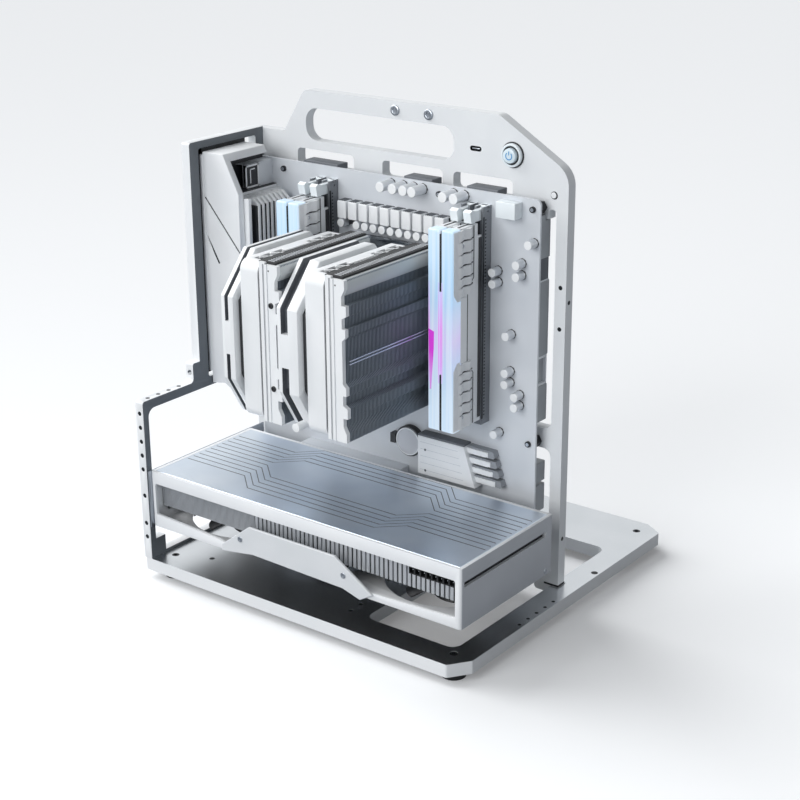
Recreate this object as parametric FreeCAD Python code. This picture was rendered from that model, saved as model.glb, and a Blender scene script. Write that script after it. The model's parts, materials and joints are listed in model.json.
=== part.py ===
import FreeCAD, Part
import math
import os

V = FreeCAD.Vector

# Open air test bench: a thick base plate, an upright plate with a carrying handle and a stepped
# side frame, which hold a main board with its cooler, memory and graphics card out in the open.
# Millimetres. X runs along the upright, Y away from the viewer, Z up. The origin is the centre
# of the footprint on the floor.

# Base plate
base_width = 270.0
base_depth = 256.5
base_thickness = 9.0
front_chamfer_x = 10.0
front_chamfer_y = 14.0
rear_chamfer_x = 14.0
rear_chamfer_y = 9.0
opening_right_strip = 17.5
opening_width = 71.5
opening_front_strip = 20.0
opening_rear_strip = 54.0
opening_radius = 7.0

# Feet
foot_height = 6.0
foot_radius = 9.0
foot_inset = 15.0
foot_screw_radius = 1.5
foot_screw_head_radius = 2.7
foot_screw_head_height = 2.0
foot_screw_grip = 3.0
accessory_row_inset = 3.2
accessory_row_start = 71.0
accessory_row_pitch = 10.1
accessory_row_count = 5
accessory_hole_radius = 1.3
frame_screw_grip = 6.0

# Upright plate
upright_thickness = 8.0
upright_setback = 130.75
upright_right_inset = 12.0
upright_height = 313.0
shoulder_drop = 30.5
shoulder_width = 26.5
slope_width = 19.0
right_chamfer_x = 52.5
right_chamfer_z = 31.2
handle_left = 46.5
handle_width = 124.4
handle_height = 22.2
handle_bar = 12.0
handle_radius = 9.5
slot_drop = 40.5
slot_height = 11.0
slot_radius = 3.0
slot_one_left = 38.5
slot_one_width = 49.6
slot_two_left = 112.4
slot_two_width = 49.6
slot_three_left = 170.6
slot_three_width = 46.0
stile_width = 8.4
window_left_rib = 43.0
window_radius = 5.5
tenon_width = 19.0
tenon_depth = 5.5
tenon_clearance = 1.0
stile_hole_radius = 1.5

# Side frame
side_thickness = 6.8
side_upper_reach = 74.0
side_upper_height = 283.5
side_upper_bar = 8.5
side_top_bar = 5.0
side_step_height = 116.5
side_step_bar = 6.5
side_front_bar = 5.0
side_rear_bar = 8.0
side_bottom_bar = 2.5
side_tab_reach = 7.0
side_tab_height = 13.7
side_foot_reach = 9.0
side_foot_height = 14.0
side_hole_radius = 1.6
side_screw_grip = 6.0

# Main board
board_width = 236.5
board_height = 244.0
board_thickness = 1.6
board_right_inset = 14.0
board_side_gap = 0.7
board_top = 265.2
standoff_length = 8.0
standoff_radius = 4.4
board_screw_radius = 1.5
board_screw_head = 2.8
board_screw_head_height = 1.8
hole_column_left = 26.5
hole_column_middle = 159.0
hole_column_right = 231.0
hole_row_top = 6.5
hole_row_middle = 163.2
hole_row_bottom = 233.8
shroud_height = 52.8
shroud_top_rise = 11.0
shroud_width = 31.5
shroud_wall = 5.0
recess_height = 24.0
recess_inset = 6.5
port_bay_drop = 28.0
side_bay_depth = 12.0
side_bay_drop = 80.0
heatsink_gap = 0.3
heatsink_root = 3.7
heatsink_reach = 5.0
heatsink_slant = 4.3
heatsink_top_gap = 1.4
heatsink_fin_count = 8
heatsink_fin_pitch = 4.3
heatsink_fin_thickness = 2.3
heatsink_fin_start = 8.6
heatsink_web = 3.0
shroud_plug_inset = 9.5
shroud_plug_width = 6.0
shroud_plug_depth = 24.4
shroud_plug_height = 17.0
shroud_plug_wall = 0.8
choke_size = 7.4
choke_pitch = 9.0
choke_count = 10
choke_left = 79.6
choke_drop = 20.0
choke_length = 12.0
choke_height = 8.0
slot_left_gap = 44.0
slot_length = 89.0
card_slot_height = 11.2
card_slot_width = 7.4

# Cooler
cooler_centre_x = 127.5
cooler_centre_drop = 87.0
cooler_front = 117.0
tower_height = 104.0
tower_depth = 92.0
tower_thickness = 15.8
tower_pitch = 53.0
fan_frame_thickness = 14.5
fan_gap = 1.4
fan_opening_radius = 42.0
fan_clearance = 1.0
frame_pocket_depth = 4.0
frame_pocket_length = 26.0
bezel_thickness = 9.8
bezel_reach = 4.1
bezel_rise = 2.0
bezel_neck = 3.6
bezel_neck_inset = 5.4
bezel_gap = 1.5
bezel_crop_top = 23.0
bezel_crop_bottom = 15.5
bezel_crop_height = 26.5
bezel_lip = 2.8
bezel_groove = 4.0
bezel_pad = 11.0
cable_boss_radius = 2.9
cable_boss_length = 20.0
hub_radius = 15.0
blade_count = 9
fin_count = 12
fin_thickness = 5.0
pipe_radius = 2.6
pipe_count = 4
cover_thickness = 3.0
rail_width = 4.6
rail_height = 1.2
base_block = 8.0
shaft_radius = 1.6
shaft_clearance = 0.3
shaft_reach = 2.0

# Memory
module_length = 133.35
module_height = 30.0
module_thickness = 1.3
module_pitch = 10.3
left_pair_x = 66.0
right_pair_x = 191.3
module_top_drop = 16.6
spreader_thickness = 7.0
light_bar_width = 8.6
light_bar_height = 8.5
socket_width = 6.6
socket_height = 9.5
socket_overhang = 4.0
latch_length = 12.0
latch_clearance = 0.35
socket_floor = 2.0
latch_pin_radius = 1.0
latch_swing = 25.0

# Graphics card
card_length = 261.0
card_width = 102.0
card_height = 40.6
card_top = 66.0
card_front_inset = 2.6
card_wall = 2.4
card_lip = 8.6
card_sill = 5.0
card_deck = 2.0
card_fan_radius = 40.5
card_fan_depth = 9.0
card_fan_pitch = 85.0
card_fan_blades = 9
bracket_thickness = 1.2
card_board_thickness = 1.6
groove_count = 10
groove_pitch = 5.6
card_fin_count = 48
badge_thickness = 2.0
badge_screw_height = 0.5

# Power button
button_left = 216.5
button_drop = 24.3
bezel_radius = 8.7
bezel_height = 3.0
barrel_radius = 7.0
button_bore = 5.6
cap_radius = 5.2
cap_proud = 2.0
button_travel = 1.5
barrel_tail = 8.0
cap_depth = 7.0

# Places that follow from the sizes above
base_left = -base_width / 2
base_right = base_width / 2
base_front = -base_depth / 2
base_back = base_depth / 2
base_bottom = foot_height
base_top = foot_height + base_thickness
upright_front = base_front + upright_setback
upright_back = upright_front + upright_thickness
upright_right = base_right - upright_right_inset
upright_top = base_top + upright_height
board_back = upright_front - standoff_length
board_front = board_back - board_thickness
board_right = upright_right - board_right_inset
board_left = board_right - board_width
side_right = board_left - board_side_gap
side_left = side_right - side_thickness
upright_left = side_left
cooler_x = board_left + cooler_centre_x
board_high = base_top + board_top
board_low = board_high - board_height
hole_columns = [board_left + hole_column_left, board_left + hole_column_middle, board_left + hole_column_right]
hole_rows = [board_high - hole_row_top, board_high - hole_row_middle, board_high - hole_row_bottom]


def outline(corners, place):
    """Closed wire through (u, v, radius) corners, each rounded by a tangent arc."""
    starts = []
    ends = []
    middles = []
    for index, (u, v, radius) in enumerate(corners):
        here = V(u, v, 0)
        if radius == 0:
            starts.append(here)
            ends.append(here)
            middles.append(None)
            continue
        before = corners[index - 1]
        after = corners[(index + 1) % len(corners)]
        back = (V(before[0], before[1], 0) - here).normalize()
        ahead = (V(after[0], after[1], 0) - here).normalize()
        half = back.getAngle(ahead) / 2
        reach = radius / math.tan(half)
        starts.append(here + back * reach)
        ends.append(here + ahead * reach)
        inward = (back + ahead).normalize()
        middles.append(here + inward * (radius / math.sin(half) - radius))
    edges = []
    for index in range(len(corners)):
        if middles[index]:
            points = [place(p.x, p.y) for p in (starts[index], middles[index], ends[index])]
            edges.append(Part.Arc(*points).toShape())
        following = starts[(index + 1) % len(corners)]
        if ends[index].distanceToPoint(following) > 1e-6:
            line = Part.LineSegment(place(ends[index].x, ends[index].y), place(following.x, following.y))
            edges.append(line.toShape())
    return Part.Wire(edges)


def slab(corners, plane, low, high):
    """Solid between two heights with a rounded outline in the xy, xz or yz plane."""
    places = {
        "xy": (lambda u, v: V(u, v, low), V(0, 0, 1)),
        "xz": (lambda u, v: V(u, low, v), V(0, 1, 0)),
        "yz": (lambda u, v: V(low, u, v), V(1, 0, 0)),
    }
    place, normal = places[plane]
    return Part.Face(outline(corners, place)).extrude(normal * (high - low))


def rectangle(left, low, right, high, radius=0.0):
    """Corners of a rectangle, all with the same radius."""
    return [(left, low, radius), (right, low, radius), (right, high, radius), (left, high, radius)]


def box(x_low, x_high, y_low, y_high, z_low, z_high):
    """Plain block between the given planes."""
    return Part.makeBox(x_high - x_low, y_high - y_low, z_high - z_low, V(x_low, y_low, z_low))


def rod(axis, centre, radius, low, high):
    """Cylinder along one axis; centre holds the other two coordinates in X, Y, Z order."""
    starts = {
        "x": (V(low, centre[0], centre[1]), V(1, 0, 0)),
        "y": (V(centre[0], low, centre[1]), V(0, 1, 0)),
        "z": (V(centre[0], centre[1], low), V(0, 0, 1)),
    }
    start, direction = starts[axis]
    return Part.makeCylinder(radius, high - low, start, direction)


def ring_points(centre, radius, count, turn=0.0):
    """Corners of a regular polygon with sharp corners."""
    step = 2 * math.pi / count
    return [(centre[0] + radius * math.cos(turn + step * i), centre[1] + radius * math.sin(turn + step * i), 0.0)
            for i in range(count)]


def screw(axis, centre, seat, head_radius, head_height, radius, length, sense):
    """Button-head screw; its head stands at the seat and its shank runs along sense."""
    outer = seat - sense * head_height
    inner = seat + sense * length
    head = rod(axis, centre, head_radius, min(seat, outer), max(seat, outer))
    shank = rod(axis, centre, radius, min(seat, inner), max(seat, inner))
    return head.fuse(shank).removeSplitter()


def save(name, shape):
    """Write one piece, or one group of like pieces, as a STEP file."""
    shape.exportStep("parts/" + name + ".step")


def group(shapes):
    """Several separate solids kept in one file."""
    return Part.makeCompound(shapes)


def base_plate():
    """Thick aluminium base: clipped corners, one large window and rows of tapped holes."""
    corners = [
        (base_left, base_front, 2.0),
        (base_right - front_chamfer_x, base_front, 2.0),
        (base_right, base_front + front_chamfer_y, 2.0),
        (base_right, base_back - rear_chamfer_y, 2.0),
        (base_right - rear_chamfer_x, base_back, 2.0),
        (base_left + rear_chamfer_x, base_back, 2.0),
        (base_left, base_back - rear_chamfer_y, 2.0),
    ]
    plate = slab(corners, "xy", base_bottom, base_top)
    window_right = base_right - opening_right_strip
    window = rectangle(window_right - opening_width, base_front + opening_front_strip,
                       window_right, base_back - opening_rear_strip, opening_radius)
    plate = plate.cut(slab(window, "xy", base_bottom, base_top))
    notch = rectangle(window_right - opening_radius, upright_front - tenon_clearance,
                      upright_right + tenon_clearance, upright_back + tenon_clearance, tenon_clearance)
    plate = plate.cut(slab(notch, "xy", base_bottom, base_top))
    for x, y in foot_places():
        plate = plate.cut(rod("z", (x, y), foot_screw_radius, base_bottom, base_top))
        plate = plate.cut(rod("z", (x, y), foot_screw_head_radius, base_top - foot_screw_head_height, base_top))
    for x, y, radius in accessory_holes():
        plate = plate.cut(rod("z", (x, y), radius, base_bottom, base_top))
    for x in upright_screw_places():
        y = (upright_front + upright_back) / 2
        plate = plate.cut(rod("z", (x, y), foot_screw_radius, base_bottom, base_top))
        plate = plate.cut(rod("z", (x, y), foot_screw_head_radius, base_bottom,
                              base_bottom + foot_screw_head_height))
    for y in side_screw_places():
        x = (side_left + side_right) / 2
        plate = plate.cut(rod("z", (x, y), foot_screw_radius, base_bottom, base_top))
        plate = plate.cut(rod("z", (x, y), foot_screw_head_radius, base_bottom,
                              base_bottom + foot_screw_head_height))
    return plate.removeSplitter()


def foot_places():
    """Centres of the four feet, under the corners of the base."""
    x = base_width / 2 - foot_inset
    y = base_depth / 2 - foot_inset
    return [(-x, -y), (x, -y), (x, y), (-x, y)]


def accessory_holes():
    """Tapped holes for pump, reservoir and drive brackets, as x, y and radius."""
    row_x = base_right - accessory_row_inset
    row = [(row_x, base_front + accessory_row_start + accessory_row_pitch * i, accessory_hole_radius)
           for i in range(accessory_row_count)]
    single = [(row_x - 0.5, base_back - 92.0, 2.4),
              (base_left + 40.0, base_front + 25.5, 2.0),
              (base_left + 167.0, base_front + 33.0, 1.6),
              (base_left + 167.0, base_front + 22.0, 1.6)]
    return row + single


def upright_screw_places():
    """Screws that hold the upright from under the base, left of the window."""
    return [upright_left + 30.0, upright_left + 95.0, upright_left + 160.0]


def side_screw_places():
    """Screws that hold the side frame's foot and rear bar from under the base."""
    return [base_front + side_front_bar + 4.0, upright_front - side_rear_bar / 2]


def feet():
    """Four turned rubber feet with a bore for their screws."""
    pieces = []
    for x, y in foot_places():
        foot = Part.makeCone(foot_radius - 1.0, foot_radius, foot_height, V(x, y, 0))
        bore = rod("z", (x, y), foot_screw_radius, foot_height - foot_screw_grip, foot_height)
        pieces.append(foot.cut(bore))
    return group(pieces)


def foot_screws():
    """Countersunk screws through the base into the feet."""
    seat = base_top - foot_screw_head_height
    length = seat - foot_height + foot_screw_grip
    return group([screw("z", place, seat, foot_screw_head_radius, foot_screw_head_height,
                        foot_screw_radius, length, -1) for place in foot_places()])


def frame_screws():
    """Screws from under the base and from behind the upright, which join the three plates."""
    seat = base_bottom + foot_screw_head_height
    places = [(x, (upright_front + upright_back) / 2) for x in upright_screw_places()]
    places += [((side_left + side_right) / 2, y) for y in side_screw_places()]
    length = base_top - seat + frame_screw_grip
    pieces = [screw("z", place, seat, foot_screw_head_radius, foot_screw_head_height,
                    foot_screw_radius, length, 1) for place in places]
    x = (side_left + side_right) / 2
    for z in side_joint_heights():
        pieces.append(screw("y", (x, z), upright_back, foot_screw_head_radius, foot_screw_head_height,
                            foot_screw_radius, upright_thickness + side_screw_grip, -1))
    return group(pieces)


def upright_plate():
    """Upright plate: handle, cable slots, large board windows and a narrow right stile."""
    shoulder = upright_left + shoulder_width
    slope_end = shoulder + slope_width
    corners = [
        (upright_left, base_top, 0.0),
        (upright_right - tenon_width, base_top, 0.0),
        (upright_right - tenon_width, base_top - tenon_depth, 3.0),
        (upright_right, base_top - tenon_depth, 4.5),
        (upright_right, upright_top - right_chamfer_z, 16.0),
        (upright_right - right_chamfer_x, upright_top, 9.0),
        (slope_end, upright_top, 7.0),
        (shoulder, upright_top - shoulder_drop, 3.0),
        (upright_left, upright_top - shoulder_drop, 0.0),
    ]
    plate = slab(corners, "xz", upright_front, upright_back)
    cuts = [handle_window()] + cable_slots() + board_windows()
    for window in cuts:
        plate = plate.cut(slab(window, "xz", upright_front, upright_back))
    plate = plate.cut(rod("y", button_centre(), barrel_radius, upright_front, upright_back))
    plate = plate.cut(slab(usb_outline(0.0), "xz", upright_front, upright_back))
    for x, z in handle_screw_places():
        plate = plate.cut(rod("y", (x, z), board_screw_radius, upright_front, upright_back))
    for x, z in board_hole_places():
        plate = plate.cut(rod("y", (x, z), board_screw_radius, upright_front, upright_back))
    through_x = upright_right - 10.4
    plate = plate.cut(rod("y", (through_x, upright_top - 46.0), 2.6, upright_front, upright_back))
    for z in stile_holes():
        plate = plate.cut(rod("y", (upright_right - stile_width / 2, z), stile_hole_radius,
                              upright_front, upright_back))
    middle = (upright_front + upright_back) / 2
    for z in stile_side_holes():
        plate = plate.cut(rod("x", (middle, z), stile_hole_radius, upright_right - 6.0, upright_right))
    for x in upright_screw_places():
        plate = plate.cut(rod("z", (x, middle), foot_screw_radius, base_top, base_top + frame_screw_grip))
    for z in side_joint_heights():
        plate = plate.cut(rod("y", ((side_left + side_right) / 2, z), board_screw_radius,
                              upright_front, upright_back))
    return plate.removeSplitter()


def handle_window():
    """Long hand hole under the top edge."""
    left = upright_left + handle_left
    top = upright_top - handle_bar
    return rectangle(left, top - handle_height, left + handle_width, top, handle_radius)


def cable_slots():
    """Three cable slots above the board."""
    top = upright_top - slot_drop
    slots = []
    for start, width in ((slot_one_left, slot_one_width), (slot_two_left, slot_two_width),
                         (slot_three_left, slot_three_width)):
        left = upright_left + start
        slots.append(rectangle(left, top - slot_height, left + width, top, slot_radius))
    return slots


def board_windows():
    """Large windows behind the board, with an ear for the corner standoff and a cross-bar."""
    left = upright_left + window_left_rib
    right = upright_right - stile_width
    bar = standoff_radius + 3.0
    top = hole_rows[0] - bar
    ear = hole_columns[2] + standoff_radius + 1.0
    upper_low = hole_rows[1] + bar + 2.0
    upper = [
        (left, upper_low, window_radius),
        (right, upper_low, window_radius),
        (right, hole_rows[0] - 1.0, 2.5),
        (ear, hole_rows[0] - 1.0, 2.5),
        (ear, top, 0.0),
        (left, top, window_radius),
    ]
    lower = rectangle(left, hole_rows[2] + bar, right, hole_rows[1] - standoff_radius, window_radius)
    return [upper, lower]


def board_hole_places():
    """Nine mounting points of the board."""
    return [(x, z) for z in hole_rows for x in hole_columns]


def handle_screw_places():
    """Two screws in the bar over the hand hole."""
    z = upright_top - handle_bar / 2
    return [(upright_left + 123.7, z), (upright_left + 150.9, z)]


def stile_holes():
    """Tapped holes in the front of the right stile."""
    return [base_top + 208.3, base_top + 180.9]


def stile_side_holes():
    """Tapped holes in the edge of the right stile."""
    return [base_top + 198.3, base_top + 34.3]


def side_joint_heights():
    """Screws through the upright into the rear bar of the side frame."""
    return [base_top + 20.0, base_top + side_step_height - side_step_bar / 2,
            base_top + side_upper_height - 12.0]


def button_centre():
    """Centre of the power button in X and Z."""
    return (upright_left + button_left, upright_top - button_drop)


def usb_outline(margin):
    """Flat-sided slot of the charging socket, shrunk by a margin."""
    x = upright_left + 188.0
    z = upright_top - 23.7
    half_width = 4.45 - margin
    half_height = 1.65 - margin
    return rectangle(x - half_width, z - half_height, x + half_width, z + half_height, half_height - 0.05)


def side_frame():
    """Stepped side frame: tall frame round the ports, then a lower bay that runs to the front."""
    upper_front = upright_front - side_upper_reach
    step_top = base_top + side_step_height
    tab_top = step_top + side_tab_height
    high = base_top + side_upper_height
    corners = [
        (base_front, base_top, 0.0),
        (upright_front, base_top, 0.0),
        (upright_front, high, 0.0),
        (upper_front, high, 2.0),
        (upper_front, tab_top, 0.0),
        (upper_front - side_tab_reach, tab_top, 1.5),
        (upper_front - side_tab_reach, step_top, 3.0),
        (base_front, step_top, 2.0),
    ]
    frame = slab(corners, "yz", side_left, side_right)
    rear = upright_front - side_rear_bar
    upper = rectangle(upper_front + side_upper_bar, step_top, rear, high - side_top_bar, 2.0)
    frame = frame.cut(slab(upper, "yz", side_left, side_right))
    front = base_front + side_front_bar
    lower = [
        (front + side_foot_reach, base_top + side_bottom_bar, 0.0),
        (rear, base_top + side_bottom_bar, 2.0),
        (rear, step_top - side_step_bar, 2.0),
        (front, step_top - side_step_bar, 6.0),
        (front, base_top + side_foot_height, 0.0),
        (front + side_foot_reach, base_top + side_foot_height, 0.0),
    ]
    frame = frame.cut(slab(lower, "yz", side_left, side_right))
    middle = (side_left + side_right) / 2
    for z in front_bar_holes():
        frame = frame.cut(rod("y", (middle, z), side_hole_radius, base_front, front))
    for y in step_bar_holes():
        frame = frame.cut(rod("z", (middle, y), side_hole_radius, step_top - side_step_bar, step_top))
    tab_z = step_top + side_tab_height / 2
    frame = frame.cut(rod("y", (middle, tab_z), 2.0, upper_front - side_tab_reach, upper_front))
    for y in side_screw_places():
        frame = frame.cut(rod("z", (middle, y), foot_screw_radius, base_top, base_top + frame_screw_grip))
    for z in side_joint_heights():
        frame = frame.cut(rod("y", (middle, z), board_screw_radius, upright_front - side_screw_grip,
                              upright_front))
    return frame.removeSplitter()


def front_bar_holes():
    """Bracket screw holes up the front bar; the card fixes to the lower pairs."""
    return [base_top + z for z in (16.3, 26.6, 47.2, 66.8, 77.0, 87.2, 97.4, 107.6)]


def step_bar_holes():
    """Row of holes along the top of the step."""
    first = base_front + 8.5
    return [first + 10.0 * i for i in range(5)]


def handle_screws():
    """Two screws in the handle bar."""
    return group([screw("y", place, upright_front, 3.5, 1.2, board_screw_radius, 7.0, 1)
                  for place in handle_screw_places()])


def button_bezel():
    """Turned metal ring of the power button, with a threaded barrel and a closed end."""
    centre = button_centre()
    flange = rod("y", centre, bezel_radius, upright_front - bezel_height, upright_front)
    barrel = rod("y", centre, barrel_radius, upright_front, upright_back + barrel_tail)
    bore = rod("y", centre, button_bore, upright_front - bezel_height, upright_front + cap_depth + 2.0)
    return flange.fuse(barrel).cut(bore).removeSplitter()


def button_cap():
    """Cap of the power button, slightly domed at its rim."""
    front = upright_front - bezel_height - cap_proud
    cap = rod("y", button_centre(), cap_radius, front, upright_front + cap_depth)
    rim = [edge for edge in cap.Edges if edge.Curve.TypeId == "Part::GeomCircle"
           and abs(edge.CenterOfMass.y - front) < 0.01]
    return cap.makeFillet(0.6, rim)


def button_nut():
    """Hexagonal nut that clamps the button behind the plate."""
    nut = slab(ring_points(button_centre(), 10.0, 6), "xz", upright_back, upright_back + 3.0)
    return nut.cut(rod("y", button_centre(), barrel_radius, upright_back, upright_back + 3.0))


def usb_socket():
    """Metal shell of the charging socket with its tongue."""
    depth = upright_back + 2.0
    shell = slab(usb_outline(0.0), "xz", upright_front, depth)
    shell = shell.cut(slab(usb_outline(0.4), "xz", upright_front, depth - 1.5))
    x = upright_left + 188.0
    z = upright_top - 23.7
    tongue = box(x - 3.2, x + 3.2, upright_front + 0.8, depth - 1.5, z - 0.35, z + 0.35)
    return shell.fuse(tongue)


def standoffs():
    """Nine hexagonal standoffs between the upright and the board."""
    pieces = []
    for place in board_hole_places():
        hexagon = slab(ring_points(place, standoff_radius, 6), "xz", board_back, upright_front)
        pieces.append(hexagon.cut(rod("y", place, board_screw_radius, board_back, upright_front)))
    return group(pieces)


def board_screws():
    """Screws through the board and its standoffs into the upright."""
    length = board_thickness + standoff_length + upright_thickness - 1.0
    return group([screw("y", place, board_front, board_screw_head, board_screw_head_height,
                        board_screw_radius, length, 1) for place in board_hole_places()])


def motherboard():
    """Main board, a flat laminate with nine mounting holes."""
    board = slab(rectangle(board_left, board_low, board_right, board_high, 3.5), "xz", board_front, board_back)
    for place in board_hole_places():
        board = board.cut(rod("y", place, board_screw_radius, board_front, board_back))
    return board


def io_shroud():
    """Moulded cover over the rear ports, with a sloping shoulder and a recess under its top."""
    left = board_left
    right = left + shroud_width
    top = board_high + shroud_top_rise
    front = board_front - shroud_height
    corners = [
        (left, board_high - 153.7, 0.0),
        (left + 11.5, board_high - 151.7, 1.0),
        (right - 3.0, board_high - 160.7, 1.0),
        (right, board_high - 158.0, 1.0),
        (right, board_high - 14.7, 1.0),
        (right - 13.0, top, 1.0),
        (left, top, 1.0),
    ]
    cover = slab(corners, "xz", front, board_front)
    behind_top = [(left, board_high, 0.0), (right, board_high, 0.0), (right, top, 0.0), (left, top, 0.0)]
    cover = cover.cut(slab(behind_top, "xz", board_front - 11.0, board_front))
    recess = rectangle(left + recess_inset, recess_floor(), right, top - shroud_wall)
    cover = cover.cut(slab(recess, "xz", front + shroud_wall, board_front))
    ports = rectangle(left, board_low + 104.0, right - side_bay_depth, top - shroud_wall - port_bay_drop)
    cover = cover.cut(slab(ports, "xz", front + shroud_wall, board_front))
    side_bay = rectangle(right - side_bay_depth, board_high - side_bay_drop, right, recess_floor())
    cover = cover.cut(slab(side_bay, "xz", front + shroud_wall, board_front))
    return cover.removeSplitter()


def recess_floor():
    """Floor of the recess under the top of the port cover."""
    return board_high + shroud_top_rise - shroud_wall - recess_height


def shroud_connector():
    """Upright connector shell in the recess of the cover."""
    x = board_left + shroud_plug_inset
    low = recess_floor()
    high = low + shroud_plug_height
    front = board_front - shroud_plug_depth
    wall = shroud_plug_wall
    shell = box(x, x + shroud_plug_width, front, board_front, low, high)
    hollow = box(x + wall, x + shroud_plug_width - wall, front, board_front - 8.0, low + wall, high - wall)
    return shell.cut(hollow)


def io_ports():
    """Rear port blocks of the board, which face out through the side frame."""
    reach = side_left + 1.0
    blocks = []
    for low, high, height in ((108.0, 124.0, 14.0), (128.0, 152.0, 26.0), (156.0, 180.0, 28.0),
                              (184.0, 204.0, 16.0)):
        z = board_low + low
        blocks.append(box(reach, board_left + 14.0, board_front - height, board_front, z, board_low + high))
    blocks.append(shroud_connector())
    return group(blocks)


def vrm_heatsink():
    """Heatsink in the side bay of the port cover: upright fins, one behind the other, tops cut back."""
    right = board_left + shroud_width
    root = right - side_bay_depth + heatsink_gap
    low = board_high - side_bay_drop + heatsink_gap
    high = recess_floor() - heatsink_top_gap
    front = board_front - shroud_height + shroud_wall + heatsink_gap
    edge = right + heatsink_reach
    block = box(root, root + heatsink_root, front, board_front, low, high)
    pieces = [box(root, edge - 1.0, front, front + heatsink_web, low, recess_floor())]
    for i in range(heatsink_fin_count):
        y = front + heatsink_fin_start + heatsink_fin_pitch * i
        fin = [(root, low, 0.0), (edge, low, 0.0), (edge, high - heatsink_slant, 0.0),
               (right, high, 0.0), (root, high, 0.0)]
        pieces.append(slab(fin, "xz", y, y + heatsink_fin_thickness))
    return block.multiFuse(pieces).removeSplitter()


def chokes():
    """Row of square power chokes above the processor."""
    pieces = []
    for i in range(choke_count):
        x = board_left + choke_left + choke_pitch * i
        top = board_high - choke_drop
        pieces.append(box(x, x + choke_size, board_front - choke_height, board_front, top - choke_length, top))
    return group(pieces)


def capacitor(x, z, radius, height):
    """Round can capacitor standing on the board, drawn with twelve sides."""
    return slab(ring_points((x, z), radius, 12), "xz", board_front - height, board_front)


def capacitors():
    """Can capacitors: a row under the chokes, two groups at the top and pairs on the right."""
    cans = []
    row_z = board_high - 35.2
    cans.append(capacitor(board_left + 82.3, row_z, 3.0, 8.0))
    for i in range(9):
        cans.append(capacitor(board_left + 95.5 + 7.2 * i, row_z, 3.0, 8.0))
    top_z = board_high - 4.8
    for x in (119.9, 130.0, 138.6, 145.8, 170.3, 178.9):
        cans.append(capacitor(board_left + x, top_z, 3.5, 13.0))
    for x, drop in ((205.6, 49.8), (205.9, 57.3), (223.7, 42.2), (223.7, 49.9), (216.6, 90.4),
                    (216.3, 115.5), (216.3, 123.2), (223.9, 130.3), (223.9, 137.6), (208.4, 159.6),
                    (232.5, 27.8)):
        cans.append(capacitor(board_left + x, board_high - drop, 3.0, 8.0))
    return group(cans)


def fan_header_block():
    """Plain white box connector at the top right of the board."""
    x = board_left + 208.3
    return box(x, x + 14.5, board_front - 8.4, board_front, board_high - 13.2, board_high - 2.7)


def board_connectors():
    """Cable sockets: one in front, the others on the back and into the windows of the upright."""
    deep = upright_front + 5.0
    right = board_right - 1.5
    blocks = [fan_header_block()]
    for low, high, width in ((205.0, 229.3, 14.0), (140.0, 190.0, 12.0), (95.0, 120.0, 14.0),
                             (52.0, 66.0, 12.0), (31.0, 50.0, 12.0)):
        blocks.append(box(right - width, right, board_back, deep, board_low + low, board_low + high))
    lip = box(right - 14.0, right, board_back, upright_front - 0.5, board_low + 229.3, board_low + 233.2)
    blocks[1] = blocks[1].fuse(lip)
    slot_top = upright_top - slot_drop
    for slot_left, inset, width in ((slot_one_left, 12.0, 30.0), (slot_two_left, 24.0, 23.0),
                                    (slot_three_left, 16.0, 24.0)):
        x = upright_left + slot_left + inset
        blocks.append(box(x, x + width, board_back, upright_front + 3.0,
                          slot_top - slot_height + 1.0, slot_top - 4.0))
    return group(blocks)


def coin_cell():
    """Flat round cell in its holder."""
    x, z = cell_centre()
    return rod("y", (x, z), 10.0, board_front - 5.2, board_front - 2.0)


def cell_centre():
    """Centre of the coin cell in X and Z."""
    return (board_left + 136.0, board_high - 182.0)


def cell_holder():
    """Moulded ring that holds the cell, with a spring clip at its left."""
    x, z = cell_centre()
    holder = rod("y", (x, z), 11.0, board_front - 4.2, board_front)
    holder = holder.cut(rod("y", (x, z), 10.0, board_front - 4.2, board_front - 2.0))
    clip = box(x - 15.0, x - 10.8, board_front - 5.4, board_front, z - 3.5, z + 3.5)
    return holder.fuse(clip).removeSplitter()


def drive_cover():
    """Aluminium cover over the drive slot, with four fingers along its right end."""
    left = board_left + 147.5
    top = board_high - 172.0
    low = board_high - 201.0
    front = board_front - 9.0
    plate = [(left, low, 0.0), (left + 48.0, low, 0.0), (left + 38.0, top, 1.0), (left, top, 1.0)]
    cover = slab(plate, "xz", front, board_front)
    fingers = []
    for i in range(4):
        z = top - 6.5 * (i + 1)
        x = left + 37.0 + 2.0 * i
        finger = [(x, z, 0.0), (x + 24.0, z + 2.0, 0.0), (x + 24.0, z + 6.0, 0.0), (x, z + 5.0, 0.0)]
        fingers.append(slab(finger, "xz", front + 3.0, board_front))
    return cover.multiFuse(fingers).removeSplitter()


def card_board_height():
    """Mid-plane of the card's circuit board, on the centre line of its slot."""
    return base_top + card_top - card_deck - 4.2


def card_slot():
    """Long slot socket on the board, with a groove for the card's edge."""
    x = board_left + slot_left_gap
    z = card_board_height()
    half = card_slot_width / 2
    socket = box(x, x + slot_length, board_front - card_slot_height, board_front, z - half, z + half)
    groove = box(x + 2.0, x + slot_length - 2.0, board_front - card_slot_height,
                 board_front - 3.0, z - card_board_thickness / 2, z + card_board_thickness / 2)
    return socket.cut(groove)


def cpu_socket():
    """Processor socket frame on the board."""
    x = cooler_x
    z = board_high - cooler_centre_drop
    frame = box(x - 32.0, x + 32.0, board_front - 4.0, board_front, z - 39.0, z + 39.0)
    return frame.cut(box(x - 28.0, x + 28.0, board_front - 4.0, board_front - 1.0, z - 36.0, z + 36.0))


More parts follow.
